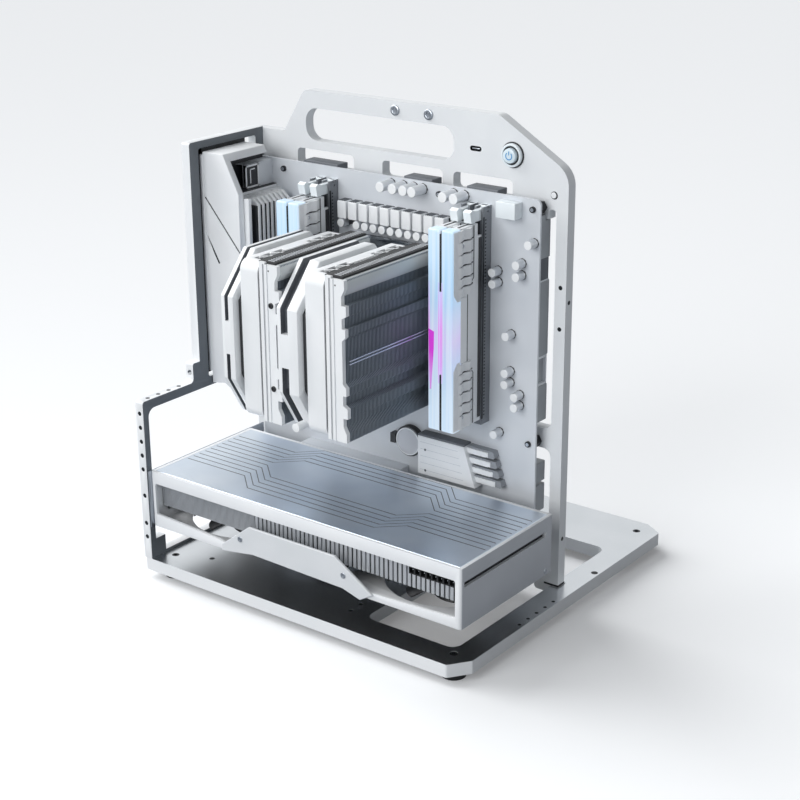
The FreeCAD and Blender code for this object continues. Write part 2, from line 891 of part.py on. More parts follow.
def processor():
    """Processor package with its metal lid."""
    x = cooler_x
    z = board_high - cooler_centre_drop
    carrier = box(x - 28.0, x + 28.0, board_front - 2.6, board_front - 1.0, z - 36.0, z + 36.0)
    lid = box(x - 24.0, x + 24.0, board_front - 6.0, board_front - 2.6, z - 32.0, z + 32.0)
    return carrier.fuse(lid).removeSplitter()


def cooler_z():
    """Height of the cooler's centre."""
    return board_high - cooler_centre_drop


def tower_front():
    """Front plane of the fin towers."""
    return board_front - cooler_front


def tower_left(index):
    """Left side of a fin tower; the fan stands on this side."""
    return cooler_x - 21.5 + tower_pitch * index


def fin_profile(left, right, low, high):
    """One fin: flat on the fan side, stepped into ridges on the other, alike above and below."""
    half = (high - low) / 2
    middle = (high + low) / 2
    steps = [(0.0, 3.4), (13.7, 3.4), (16.3, 0.8), (21.4, 0.8), (21.4, 3.4), (27.8, 3.4), (29.7, 0.0),
             (36.1, 0.0), (36.1, 3.4), (41.8, 3.4), (46.3, 1.0), (half, 1.0)]
    corners = [(left, high, 0.0), (left, low, 0.0)]
    corners += [(right - inset, middle - level, 0.0) for level, inset in reversed(steps)]
    corners += [(right - inset, middle + level, 0.0) for level, inset in steps[1:]]
    return corners


def fin_stack(index):
    """Stack of aluminium fins across the heat pipes, joined by the pipe collars."""
    left = tower_left(index)
    right = left + tower_thickness
    low = cooler_z() - tower_height / 2
    high = cooler_z() + tower_height / 2
    front = tower_front() + cover_thickness
    pitch = (tower_depth - cover_thickness - fin_thickness) / (fin_count - 1)
    fins = [slab(fin_profile(left, right, low, high), "xz", front + pitch * i, front + pitch * i + fin_thickness)
            for i in range(fin_count)]
    collar = box(left + 3.0, right - 3.6, front, front + pitch * (fin_count - 1) + fin_thickness,
                 low + 6.0, high - 6.0)
    stack = collar.multiFuse(fins)
    for z in pipe_heights():
        stack = stack.cut(rod("y", (left + tower_thickness / 2, z), pipe_radius, front, front + tower_depth))
    return stack.removeSplitter()


def pipe_heights():
    """Heights of the heat pipes through a tower."""
    spread = tower_height / (pipe_count + 1)
    return [cooler_z() - tower_height / 2 + spread * (i + 1) for i in range(pipe_count)]


def tower_cover(index):
    """White end cover on the front of a tower, with a rail that runs back along its top."""
    left = tower_left(index)
    right = left + tower_thickness
    low = cooler_z() - tower_height / 2
    high = cooler_z() + tower_height / 2
    front = tower_front()
    cover = slab(fin_profile(left, right, low, high), "xz", front, front + cover_thickness)
    for start in (2.6, 6.0):
        cover = cover.cut(box(left + start, left + start + 1.4, front, front + 0.8, low, high))
    rail = box(left, left + rail_width, front, front + tower_depth, high, high + rail_height)
    return cover.fuse(rail).removeSplitter()


def heat_pipes():
    """Heat pipes bent from the base up through both towers."""
    front = tower_front() + cover_thickness
    deck = board_front - 6.0 - base_block - pipe_radius
    pipes = []
    for z in pipe_heights():
        left = tower_left(0) + tower_thickness / 2
        right = tower_left(1) + tower_thickness / 2
        bend = pipe_radius * 2.6
        centres = [V(left, front, z), V(left, deck - bend, z), V(left + bend, deck, z),
                   V(right - bend, deck, z), V(right, deck - bend, z), V(right, front, z)]
        turn = bend * (1 - math.sqrt(0.5))
        first = V(left + turn, deck - turn, z)
        second = V(right - turn, deck - turn, z)
        path = Part.Wire([
            Part.LineSegment(centres[0], centres[1]).toShape(),
            Part.Arc(centres[1], first, centres[2]).toShape(),
            Part.LineSegment(centres[2], centres[3]).toShape(),
            Part.Arc(centres[3], second, centres[4]).toShape(),
            Part.LineSegment(centres[4], centres[5]).toShape(),
        ])
        section = Part.Wire([Part.makeCircle(pipe_radius, centres[0], V(0, 1, 0))])
        pipes.append(path.makePipeShell([section], True, False))
    return group(pipes)


def cooler_base():
    """Cold plate under the pipes, with a grooved top and mounting ears."""
    x = cooler_x
    z = cooler_z()
    back = board_front - 6.0
    deck = back - base_block - pipe_radius
    block = box(x - 20.0, x + 20.0, deck, back, z - 38.0, z + 38.0)
    ears = box(x - 30.0, x + 30.0, back - 3.0, back, z - 47.0, z - 38.0)
    ears = ears.fuse(box(x - 30.0, x + 30.0, back - 3.0, back, z + 38.0, z + 47.0))
    block = block.fuse(ears)
    for pipe in heat_pipes().Solids:
        block = block.cut(pipe)
    for ex, ez in mount_places():
        block = block.cut(rod("y", (ex, ez), 2.0, back - 3.0, back))
    return block.removeSplitter()


def mount_places():
    """Four cooler screws at the corners of the socket."""
    return [(cooler_x + sx * 26.0, cooler_z() + sz * 43.0) for sx in (-1, 1) for sz in (-1, 1)]


def cooler_screws():
    """Screws that pull the cold plate down on the processor."""
    seat = board_front - 6.0 - 3.0
    return group([screw("y", place, seat, 3.4, 3.0, 2.0, 9.0, 1) for place in mount_places()])


def fan_back(index):
    """Side of the fan frame that lies against its gasket."""
    return tower_left(index) - fan_gap


def fan_centre():
    """Axis of the cooler fans in Y and Z."""
    return (tower_front() + tower_depth / 2, cooler_z())


def fan_frame(index):
    """Square fan frame with a round opening, four stays and a motor plate."""
    right = fan_back(index)
    left = right - fan_frame_thickness
    y, z = fan_centre()
    half_y = tower_depth / 2
    half_z = tower_height / 2
    frame = slab(rectangle(y - half_y, z - half_z, y + half_y, z + half_z, 7.0), "yz", left, right)
    frame = frame.cut(rod("x", (y, z), fan_opening_radius, left, right))
    motor = rod("x", (y, z), hub_radius, right - 3.0, right)
    bars = []
    for i in range(4):
        bar = box(right - 2.5, right, y - 2.0, y + 2.0, z + hub_radius - 2.0, z + fan_opening_radius + 2.0)
        bar.rotate(V(right, y, z), V(1, 0, 0), 45 + 90 * i)
        bars.append(bar)
    frame = frame.multiFuse([motor] + bars)
    for side_y in (-1, 1):
        for side_z in (-1, 1):
            inner_y = y + side_y * (half_y - 8.0)
            outer_z = z + side_z * half_z
            pocket = box(left + 5.0, right - 2.0, min(inner_y, inner_y - side_y * frame_pocket_length),
                         max(inner_y, inner_y - side_y * frame_pocket_length),
                         min(outer_z, outer_z - side_z * frame_pocket_depth),
                         max(outer_z, outer_z - side_z * frame_pocket_depth))
            frame = frame.cut(pocket)
    shaft_hole = rod("x", (y, z), shaft_radius, left, right - 1.0)
    return frame.cut(shaft_hole).removeSplitter()


def rotor_blades(radius, depth, count, twist):
    """Swept fan blades round a hub along +Z from the origin plane."""
    pieces = []
    for i in range(count):
        start = V(hub_radius - 1.0, 0, 0)
        angle = math.radians(twist)
        tip = V(radius * math.cos(angle), radius * math.sin(angle), 0)
        middle = V((hub_radius + radius) / 2, radius * math.sin(angle) * 0.15, 0)
        curve = Part.Arc(start, middle, tip).toShape()
        lifted = curve.copy()
        lifted.rotate(V(0, 0, 0), V(0, 0, 1), 14)
        lifted.translate(V(0, 0, depth))
        skin = Part.makeRuledSurface(curve, lifted)
        blade = skin.makeOffsetShape(1.2, 1e-3, fill=True)
        blade.rotate(V(0, 0, 0), V(0, 0, 1), 360.0 * i / count)
        pieces.append(blade)
    return pieces


def rotor(radius, depth, count, twist):
    """Fan rotor on its axis: hub, blades and a short shaft, built along +Z."""
    hub = Part.makeCylinder(hub_radius, depth, V(0, 0, 0))
    shaft = Part.makeCylinder(shaft_radius - shaft_clearance, depth + shaft_reach, V(0, 0, 0))
    blades = rotor_blades(radius, depth - 2.0, count, twist)
    for blade in blades:
        blade.translate(V(0, 0, 1.0))
    return hub.multiFuse(blades + [shaft]).removeSplitter()


def fan_rotor(index):
    """Cooler fan rotor, which turns about X in its frame."""
    y, z = fan_centre()
    left = fan_back(index) - fan_frame_thickness
    wheel = rotor(fan_opening_radius - fan_clearance, fan_frame_thickness - 4.0, blade_count, 30.0)
    wheel.rotate(V(0, 0, 0), V(0, 1, 0), 90)
    wheel.translate(V(left + 0.4, y, z))
    return wheel


def bezel_outline(inset):
    """Eight-sided outline of a fan ring in Y and Z, drawn in by an inset."""
    y, z = fan_centre()
    front = y - tower_depth / 2 - bezel_reach + inset
    back = y + tower_depth / 2 + bezel_reach - inset
    low = z - tower_height / 2 - bezel_rise + inset
    high = z + tower_height / 2 + bezel_rise - inset
    shrink = inset * 0.45
    top = bezel_crop_top - shrink
    bottom = bezel_crop_bottom - shrink
    crop = bezel_crop_height - shrink
    return [
        (front + bottom, low, 1.0), (back - bottom, low, 1.0), (back, low + crop, 1.0),
        (back, high - crop, 1.0), (back - top, high, 1.0), (front + top, high, 1.0),
        (front, high - crop, 1.0), (front, low + crop, 1.0),
    ]


def bezel_left(index):
    """Free side of a fan ring; the second ring fills the room up to the first tower."""
    right = fan_back(index) - fan_frame_thickness
    if index == 0:
        return right - bezel_neck - bezel_thickness
    return tower_left(0) + tower_thickness + bezel_gap


def fan_bezel(index):
    """Angular ring in front of a fan: a lip, a groove round its arms, a flat pad and a narrow neck."""
    right = fan_back(index) - fan_frame_thickness
    left = bezel_left(index)
    y, z = fan_centre()
    shoulder = right - bezel_neck
    ring = slab(bezel_outline(0.0), "yz", left, shoulder)
    groove_end = left + bezel_lip + (shoulder - left - bezel_lip) * 0.42
    groove = slab(bezel_outline(-1.0), "yz", left + bezel_lip, groove_end)
    groove = groove.cut(slab(bezel_outline(bezel_groove), "yz", left + bezel_lip, groove_end))
    reach = tower_depth / 2 + bezel_reach + 2.0
    groove = groove.cut(box(left, shoulder, y - reach, y + reach, z - bezel_pad, z + bezel_pad))
    ring = ring.cut(groove)
    ring = ring.fuse(slab(bezel_outline(bezel_neck_inset), "yz", shoulder, right))
    if index == 1:
        boss_y = y - tower_depth / 2
        boss_z = z - tower_height / 2 + 1.0
        ring = ring.fuse(rod("y", (left + 9.0, boss_z), cable_boss_radius, boss_y, boss_y + cable_boss_length))
    bore = Part.makeCone(fan_opening_radius + 2.0, fan_opening_radius, right - left, V(left, y, z), V(1, 0, 0))
    return ring.cut(bore).removeSplitter()


def fan_gaskets():
    """Black ribbed strips between each fan and its tower."""
    pieces = []
    y, z = fan_centre()
    for index in range(2):
        right = tower_left(index)
        left = fan_back(index)
        half_y = tower_depth / 2
        half_z = tower_height / 2
        strip = slab(rectangle(y - half_y + 1.0, z - half_z + 1.0, y + half_y - 1.0, z + half_z - 1.0, 6.0),
                     "yz", left, right)
        hole = rectangle(y - half_y + 4.0, z - half_z + 4.0, y + half_y - 4.0, z + half_z - 4.0, 4.0)
        pieces.append(strip.cut(slab(hole, "yz", left, right)))
    return group(pieces)


def module_places():
    """Centre lines of the four memory modules in X."""
    half = module_pitch / 2
    left = board_left + left_pair_x
    right = board_left + right_pair_x
    return [left - half, left + half, right - half, right + half]


def module_top():
    """Upper end of the memory modules."""
    return board_high - module_top_drop


def memory_sockets():
    """Four long memory sockets with a groove each; the latch ends are open at the top."""
    pieces = []
    for x in module_places():
        high = module_top() + socket_overhang + latch_length
        low = module_top() - module_length - socket_overhang
        half = socket_width / 2
        body = box(x - half, x + half, board_front - socket_height, board_front, low, high)
        groove = box(x - module_thickness / 2, x + module_thickness / 2, board_front - socket_height,
                     board_front - socket_floor, module_top() - module_length, module_top())
        tower = box(x - latch_half() - latch_clearance, x + latch_half() + latch_clearance,
                    board_front - socket_height, board_front - 1.5, module_top(), high)
        body = body.cut(groove).cut(tower)
        pin_y, pin_z = latch_pivot()
        body = body.cut(rod("x", (pin_y, pin_z), latch_pin_radius, x - half, x + half))
        pieces.append(body)
    return group(pieces)


def latch_half():
    """Half thickness of a latch lever."""
    return socket_width / 2 - 1.2 - latch_clearance


def latch_pivot():
    """Axis of the latches in Y and Z."""
    return (board_front - 4.0, module_top() + socket_overhang + 4.0)


def memory_latch(x):
    """Lever at the top end of a socket, with a thumb tip and a round pin."""
    half = latch_half()
    y, z = latch_pivot()
    face = module_top() + latch_clearance
    corners = [
        (board_front - 2.6, face + 4.0, 0.0),
        (board_front - 2.6, z + 2.2, 0.0),
        (board_front - 16.0, z + 2.2, 0.0),
        (board_front - 21.0, z + 7.0, 0.0),
        (board_front - 23.0, z + 5.5, 0.0),
        (board_front - 19.0, z - 2.5, 0.0),
        (board_front - 14.0, face, 0.0),
        (board_front - 10.0, face, 0.0),
    ]
    lever = slab(corners, "yz", x - half, x + half)
    pin = rod("x", (y, z), latch_pin_radius - 0.05, x - socket_width / 2, x + socket_width / 2)
    return lever.fuse(pin).removeSplitter()


def memory_boards():
    """Four memory circuit boards, which stand in their sockets."""
    pieces = []
    half = module_thickness / 2
    back = board_front - socket_floor
    for x in module_places():
        pieces.append(box(x - half, x + half, back - module_height, back,
                          module_top() - module_length, module_top()))
    return group(pieces)


def memory_spreaders():
    """Folded heat spreaders with raised ribs near both ends of the outer face."""
    pieces = []
    for x in module_places():
        half = spreader_thickness / 2
        low = module_top() - module_length
        high = module_top()
        back = board_front - socket_height - 1.0
        front = board_front - socket_floor - module_height
        body = box(x - half, x + half, front - 3.0, back, low, high)
        body = body.cut(box(x - module_thickness / 2, x + module_thickness / 2, front, back, low, high))
        body = body.cut(box(x - half, x + half, back - 4.0, back, high - 8.0, high))
        ribs = []
        for end in (low + 8.0, high - 46.0):
            for i in range(4):
                z = end + 10.0 * i
                rib = [(x + half, back - 2.0, 0.0), (x + half, front + 4.0, 0.0),
                       (x + half + 1.4, front + 6.0, 0.0), (x + half + 1.4, back - 3.5, 0.0)]
                ribs.append(slab(rib, "xy", z, z + 7.5))
        pieces.append(body.multiFuse(ribs).removeSplitter())
    return group(pieces)


def light_bars():
    """Translucent light bars along the front edges of the modules."""
    pieces = []
    for x in module_places():
        half = light_bar_width / 2
        low = module_top() - module_length
        high = module_top()
        back = board_front - socket_floor - module_height - 3.0
        front = back - light_bar_height
        corners = [(front, low, 1.5), (back, low, 0.0), (back, low + 44.0, 0.0), (back + 3.0, low + 48.0, 0.0),
                   (back + 3.0, high - 48.0, 0.0), (back, high - 44.0, 0.0), (back, high, 0.0),
                   (front, high, 1.5)]
        bar = slab(corners, "yz", x - half, x + half)
        inner = box(x - spreader_thickness / 2, x + spreader_thickness / 2, back, back + 4.0, low, high)
        pieces.append(bar.cut(inner))
    return group(pieces)


def card_left():
    """Bracket end of the card, on the inner face of the side frame."""
    return side_right + bracket_thickness


def card_box():
    """Outer planes of the card: left, right, front, back, bottom and top."""
    left = card_left()
    front = base_front + card_front_inset
    top = base_top + card_top
    return (left, left + card_length, front, front + card_width, top - card_height, top)


def card_shroud():
    """White shell of the card: walls with a long window in front and round fan openings below."""
    left, right, front, back, low, high = card_box()
    roof = high - card_deck
    shell = slab(rectangle(left, front, right, back, 2.0), "xy", low, high)
    inner = box(left + card_wall, right - card_wall, front + card_wall, back - card_wall, low + card_wall, high)
    shell = shell.cut(inner)
    window = [(left + 3.5, low + card_sill + 4.0, 1.5), (left + 62.0, low + card_sill + 1.0, 0.0),
              (left + 70.0, low + card_sill - 1.0, 0.0), (left + 182.0, low + card_sill - 1.0, 0.0),
              (right - 4.5, low + card_sill + 2.0, 1.5), (right - 4.5, high - card_lip, 1.5),
              (left + 3.5, high - card_lip, 1.5)]
    shell = shell.cut(slab(window, "xz", front, front + card_wall))
    notch = [(left + 71.0, low, 0.0), (left + 182.5, low, 0.0), (left + 182.5, low + 3.5, 0.0),
             (left + 173.0, low + 5.5, 0.0), (left + 76.0, low + 5.5, 0.0)]
    shell = shell.cut(slab(notch, "xz", front, front + card_wall + 6.0))
    rear = rectangle(left + 10.0, low + card_sill, right - 10.0, card_board_height() + 2.0, 1.0)
    shell = shell.cut(slab(rear, "xz", back - card_wall, back))
    end_slot = rectangle(front + 3.5, high - 13.2, back - 8.0, high - 9.6, 0.0)
    shell = shell.cut(slab(end_slot, "yz", right - card_wall, right))
    end_grille = rectangle(front + 12.0, low + 8.0, back - 12.0, high - 10.0, 2.0)
    shell = shell.cut(slab(end_grille, "yz", left, left + card_wall))
    for x, y in card_fan_places():
        shell = shell.cut(rod("z", (x, y), card_fan_radius + 1.0, low, low + card_wall))
    return shell.removeSplitter()


def card_fan_places():
    """Axes of the three card fans."""
    left, right, front, back, low, high = card_box()
    middle = (left + right) / 2
    y = (front + back) / 2
    return [(middle + card_fan_pitch * i, y) for i in (-1, 0, 1)]


def card_backplate():
    """Metal plate let into the top of the shell, engraved with long parallel grooves."""
    left, right, front, back, low, high = card_box()
    gap = 0.1
    plate = box(left + card_wall + gap, right - card_wall - gap, front + card_wall + gap,
                back - card_wall - gap, high - card_deck, high)
    for i in range(groove_count):
        y = back - card_wall - 6.0 - groove_pitch * i
        start = left + 6.0 + (0.0 if i < 10 else 18.0 * (i - 9))
        plate = plate.cut(box(start, left + 78.0 - 2.5 * i, y - 0.5, y + 0.5, high - 0.6, high))
        plate = plate.cut(box(right - 84.0 + 2.5 * i, right - 6.0, y - 0.5, y + 0.5, high - 0.6, high))
    return plate


def card_fins():
    """Fin block of the card, ribbed along its front face."""
    left, right, front, back, low, high = card_box()
    z_low = low + 13.5
    z_high = card_board_height() - card_board_thickness / 2 - 0.6
    y_front = front + 8.0
    x_left = left + card_wall + 0.5
    x_right = right - card_wall - 0.5
    points = [(x_left, back - 8.0, 0.0), (x_left, y_front, 0.0)]
    pitch = (x_right - x_left) / card_fin_count
    for i in range(card_fin_count):
        x = x_left + pitch * i
        points += [(x + pitch * 0.5, y_front, 0.0), (x + pitch * 0.5, y_front + 4.0, 0.0),
                   (x + pitch, y_front + 4.0, 0.0)]
        if i < card_fin_count - 1:
            points.append((x + pitch, y_front, 0.0))
    points.append((x_right, back - 8.0, 0.0))
    block = slab(points, "xy", z_low, z_high)
    for x, y in card_fan_places():
        block = block.cut(rod("z", (x, y), hub_radius + 2.0, z_low, z_low + 1.0))
        block = block.cut(rod("z", (x, y), shaft_radius, z_low, z_low + 6.0))
    connector = card_connector_box()
    block = block.cut(box(connector[0] - 0.4, connector[1] + 0.4, front, connector[3] + 0.4,
                          connector[4] - 0.4, z_high))
    return block.removeSplitter()


def card_connector_box():
    """Planes of the card's power socket: left, right, front, back, bottom and top."""
    left, right, front, back, low, high = card_box()
    return (right - 41.4, right - 6.6, front + card_wall + 0.3, front + 24.0, high - 15.0, high - 5.2)


def card_connector():
    """Power socket of the card, a black block with two rows of square cavities."""
    x0, x1, y0, y1, z0, z1 = card_connector_box()
    block = box(x0, x1, y0, y1, z0, z1)
    pitch_x = (x1 - x0) / 8
    pitch_z = (z1 - z0) / 2
    for i in range(8):
        for j in range(2):
            x = x0 + pitch_x * i
            z = z0 + pitch_z * j
            block = block.cut(box(x + 0.6, x + pitch_x - 0.6, y0, y0 + 8.0, z + 0.6, z + pitch_z - 0.6))
    return block


def card_circuit_board():
    """Circuit board of the card, with the edge tongue that stands in the slot."""
    left, right, front, back, low, high = card_box()
    z = card_board_height()
    half = card_board_thickness / 2
    x0, x1, y0, y1, z0, z1 = card_connector_box()
    board = box(left + card_wall + 0.5, right - card_wall - 0.5, front + 27.0, back - card_wall - 0.4,
                z - half, z + half)
    slot_x = board_left + slot_left_gap
    tongue = box(slot_x + 2.5, slot_x + slot_length - 2.5, back - card_wall - 0.5,
                 board_front - 3.3, z - half + 0.05, z + half - 0.05)
    return board.fuse(tongue).removeSplitter()


def card_badge():
    """Blank badge plate across the front window: a long bar with angled ends."""
    left, right, front, back, low, high = card_box()
    x = left
    z = low
    corners = [
        (x + 66.0, z - 0.2, 0.5), (x + 66.0, z + 4.5, 0.0), (x + 90.8, z + 23.3, 0.5),
        (x + 163.8, z + 23.0, 0.5), (x + 194.0, z + 4.0, 0.0), (x + 184.0, z - 1.8, 0.5),
        (x + 170.0, z + 2.2, 0.0), (x + 94.0, z + 4.0, 0.0),
    ]
    return slab(corners, "xz", front - badge_thickness, front)


def badge_screw_places():
    """Two screws at the ends of the badge plate."""
    left, right, front, back, low, high = card_box()
    return [(left + 83.0, low + 12.6), (left + 171.0, low + 11.6)]


def badge_screws():
    """Small screws on the badge plate."""
    left, right, front, back, low, high = card_box()
    seat = front - badge_thickness
    return group([rod("y", place, 2.0, seat - badge_screw_height, seat) for place in badge_screw_places()])


def card_fan_rotor(index):
    """Card fan rotor, hung under the fins with its shaft up."""
    left, right, front, back, low, high = card_box()
    x, y = card_fan_places()[index]
    wheel = rotor(card_fan_radius - 0.6, card_fan_depth, card_fan_blades, 30.0)
    wheel.translate(V(x, y, low + card_wall + 0.8))
    return wheel


def card_bracket():
    """Steel end bracket of the card against the side frame, with exhaust slots."""
    left, right, front, back, low, high = card_box()
    plate = box(side_right, side_right + bracket_thickness, base_front + 0.5, board_front - 2.0,
                low - 1.0, high)
    for i in range(6):
        y = front + 18.0 + 12.0 * i
        plate = plate.cut(box(side_right, side_right + bracket_thickness, y, y + 6.0, low + 6.0, low + 18.0))
    return plate


def main():
    """Build every piece and write the files."""
    os.makedirs("parts", exist_ok=True)
    save("base_plate", base_plate())
    save("feet", feet())
    save("foot_screws", foot_screws())
    save("frame_screws", frame_screws())
    save("upright_plate", upright_plate())
    save("side_frame", side_frame())
    save("handle_screws", handle_screws())
    save("button_bezel", button_bezel())
    save("button_cap", button_cap())
    save("button_nut", button_nut())
    save("usb_socket", usb_socket())
    save("standoffs", standoffs())
    save("board_screws", board_screws())
    save("motherboard", motherboard())
    save("io_shroud", io_shroud())
    save("io_ports", io_ports())
    save("vrm_heatsink", vrm_heatsink())
    save("power_chokes", chokes())
    save("capacitors", capacitors())
    save("board_connectors", board_connectors())
    save("coin_cell", coin_cell())
    save("cell_holder", cell_holder())
    save("drive_cover", drive_cover())
    save("card_slot", card_slot())
    save("cpu_socket", cpu_socket())
    save("processor", processor())
    save("cooler_base", cooler_base())
    save("heat_pipes", heat_pipes())
    save("cooler_screws", cooler_screws())
    save("fan_gaskets", fan_gaskets())
    for index in range(2):
        suffix = "_" + str(index + 1)
        save("fin_stack" + suffix, fin_stack(index))
        save("tower_cover" + suffix, tower_cover(index))
        save("fan_frame" + suffix, fan_frame(index))
        save("fan_bezel" + suffix, fan_bezel(index))
        save("fan_rotor" + suffix, fan_rotor(index))
    save("memory_sockets", memory_sockets())
    save("memory_boards", memory_boards())
    save("memory_spreaders", memory_spreaders())
    save("memory_light_bars", light_bars())
    for index, x in enumerate(module_places()):
        save("memory_latch_" + str(index + 1), memory_latch(x))
    save("card_shroud", card_shroud())
    save("card_backplate", card_backplate())
    save("card_fins", card_fins())
    save("card_connector", card_connector())
    save("card_circuit_board", card_circuit_board())
    save("card_badge", card_badge())
    save("badge_screws", badge_screws())
    save("card_bracket", card_bracket())
    for index in range(3):
        save("card_fan_rotor_" + str(index + 1), card_fan_rotor(index))


main()
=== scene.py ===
import json
import math

import bmesh
import bpy
from mathutils import Matrix, Vector


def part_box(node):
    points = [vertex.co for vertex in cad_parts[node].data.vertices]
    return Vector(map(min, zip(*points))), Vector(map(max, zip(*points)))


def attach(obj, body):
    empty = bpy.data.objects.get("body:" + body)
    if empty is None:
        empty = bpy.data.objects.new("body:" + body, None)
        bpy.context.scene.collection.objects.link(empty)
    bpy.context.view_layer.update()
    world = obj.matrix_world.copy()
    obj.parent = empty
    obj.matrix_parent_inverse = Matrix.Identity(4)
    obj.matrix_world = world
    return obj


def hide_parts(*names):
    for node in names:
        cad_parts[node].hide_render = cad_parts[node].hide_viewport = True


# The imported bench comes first. Its box is kept, so that the dressed bench can be held against it.
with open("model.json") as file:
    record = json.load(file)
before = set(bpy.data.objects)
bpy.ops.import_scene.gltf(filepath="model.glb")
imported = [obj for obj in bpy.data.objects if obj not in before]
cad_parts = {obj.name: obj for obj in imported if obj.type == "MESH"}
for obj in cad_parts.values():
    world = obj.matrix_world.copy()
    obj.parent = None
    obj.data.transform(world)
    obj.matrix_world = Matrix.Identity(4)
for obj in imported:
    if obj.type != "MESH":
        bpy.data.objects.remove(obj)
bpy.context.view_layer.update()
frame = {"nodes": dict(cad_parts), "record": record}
record = frame["record"]
node_body = {node: body for body, nodes in record["behaviour"]["bodies"].items() for node in nodes}

# Studio. A wide pale floor that runs out of the picture, under soft light from the upper left:
# matt paper with no grain, so that only the contact shadow shows on it.
scene = bpy.context.scene
scene.view_settings.view_transform = "Standard"


def linear(hex_colour):
    """Linear RGBA from a six-digit sRGB hex value."""
    channels = [int(hex_colour[i:i + 2], 16) / 255 for i in (0, 2, 4)]
    curved = [c / 12.92 if c <= 0.04045 else ((c + 0.055) / 1.055) ** 2.4 for c in channels]
    return (*curved, 1.0)


def add_node(tree, kind, settings, **links):
    """One shader node: settings name its inputs or attributes, links name sockets it takes."""
    node = tree.nodes.new(kind)
    for key, value in settings.items():
        if key in node.inputs:
            node.inputs[key].default_value = value
        else:
            setattr(node, key, value)
    for key, socket in links.items():
        tree.links.new(socket, node.inputs[key.replace("_", " ")])
    return node


def paper_floor(lit_hex, seen_hex, lift):
    """Matt paper: the camera sees it paler than the paper that lights the object from below."""
    material = bpy.data.materials.new("studio_paper")
    material.use_nodes = True
    tree = material.node_tree
    tree.nodes.clear()
    dim = add_node(tree, "ShaderNodeBsdfDiffuse", {"Color": linear(lit_hex)})
    pale = add_node(tree, "ShaderNodeBsdfDiffuse", {"Color": linear(seen_hex)})
    glow = add_node(tree, "ShaderNodeEmission", {"Color": linear("FFFFFF"), "Strength": lift})
    both = add_node(tree, "ShaderNodeAddShader", {})
    tree.links.new(pale.outputs[0], both.inputs[0])
    tree.links.new(glow.outputs[0], both.inputs[1])
    path = add_node(tree, "ShaderNodeLightPath", {})
    pick = add_node(tree, "ShaderNodeMixShader", {}, Fac=path.outputs["Is Camera Ray"])
    tree.links.new(dim.outputs[0], pick.inputs[1])
    tree.links.new(both.outputs[0], pick.inputs[2])
    add_node(tree, "ShaderNodeOutputMaterial", {}, Surface=pick.outputs[0])
    return material


def mesh_object(name, bm, material):
    """A finished piece from a bmesh that is already in its place, in metres."""
    mesh = bpy.data.meshes.new(name)
    bm.to_mesh(mesh)
    bm.free()
    piece = bpy.data.objects.new(name, mesh)
    scene.collection.objects.link(piece)
    mesh.materials.append(material)
    return piece


floor_reach = 14.0
bm = bmesh.new()
bmesh.ops.create_grid(bm, x_segments=1, y_segments=1, size=floor_reach)
floor = mesh_object("studio_floor", bm, paper_floor("9EA2A7", "EDEFF1", 0.16))

world = bpy.data.worlds.new("studio")
scene.world = world
world.use_nodes = True
sky = world.node_tree
sky.nodes.clear()
room = add_node(sky, "ShaderNodeBackground", {"Color": linear("E6EBF2"), "Strength": 0.16})
shown = add_node(sky, "ShaderNodeBackground", {"Color": linear("F0F2F3"), "Strength": 0.97})
path = add_node(sky, "ShaderNodeLightPath", {})
either = add_node(sky, "ShaderNodeMath", {"operation": "MAXIMUM"})
sky.links.new(path.outputs["Is Camera Ray"], either.inputs[0])
sky.links.new(path.outputs["Is Glossy Ray"], either.inputs[1])
pick = add_node(sky, "ShaderNodeMixShader", {}, Fac=either.outputs[0])
sky.links.new(room.outputs[0], pick.inputs[1])
sky.links.new(shown.outputs[0], pick.inputs[2])
add_node(sky, "ShaderNodeOutputWorld", {}, Surface=pick.outputs[0])


def softbox(name, place, aim, size, watts):
    """Square white studio lamp that faces a point."""
    lamp = bpy.data.lights.new(name, "AREA")
    lamp.size = size
    lamp.energy = watts
    holder = bpy.data.objects.new(name, lamp)
    scene.collection.objects.link(holder)
    holder.location = place
    holder.rotation_euler = (Vector(aim) - Vector(place)).to_track_quat("-Z", "Y").to_euler()


softbox("front_lamp", (-0.15, -1.65, 0.85), (0, 0, 0.12), 1.2, 19.5)
softbox("side_lamp", (1.6, -0.5, 0.5), (0, 0, 0.15), 0.9, 3.0)
high_light_path = Vector((0.95, 0.08, -0.82))
high_lamp = bpy.data.lights.new("high_lamp", "SUN")
high_lamp.energy = 3.1
high_lamp.angle = math.radians(55)
high_holder = bpy.data.objects.new("high_lamp", high_lamp)
scene.collection.objects.link(high_holder)
high_holder.rotation_euler = high_light_path.to_track_quat("-Z", "Y").to_euler()

# Camera: a long lens that looks down on the front right corner, with a slight roll. Its place and its
# turn come from the straight edges of the base and the upright in the picture.
lens = bpy.data.cameras.new("camera")
lens.lens = 76.02
lens.sensor_width = 36.0
lens.clip_end = 50.0
camera = bpy.data.objects.new("camera", lens)
scene.collection.objects.link(camera)
right = Vector((0.79558, 0.60581, -0.00696))
up = Vector((-0.20356, 0.27812, 0.93873))
back = Vector((0.57063, -0.74542, 0.34458))
turn = Matrix((right, up, back)).transposed().to_4x4()
camera.matrix_world = Matrix.Translation((0.66061, -0.87251, 0.52487)) @ turn
scene.camera = camera


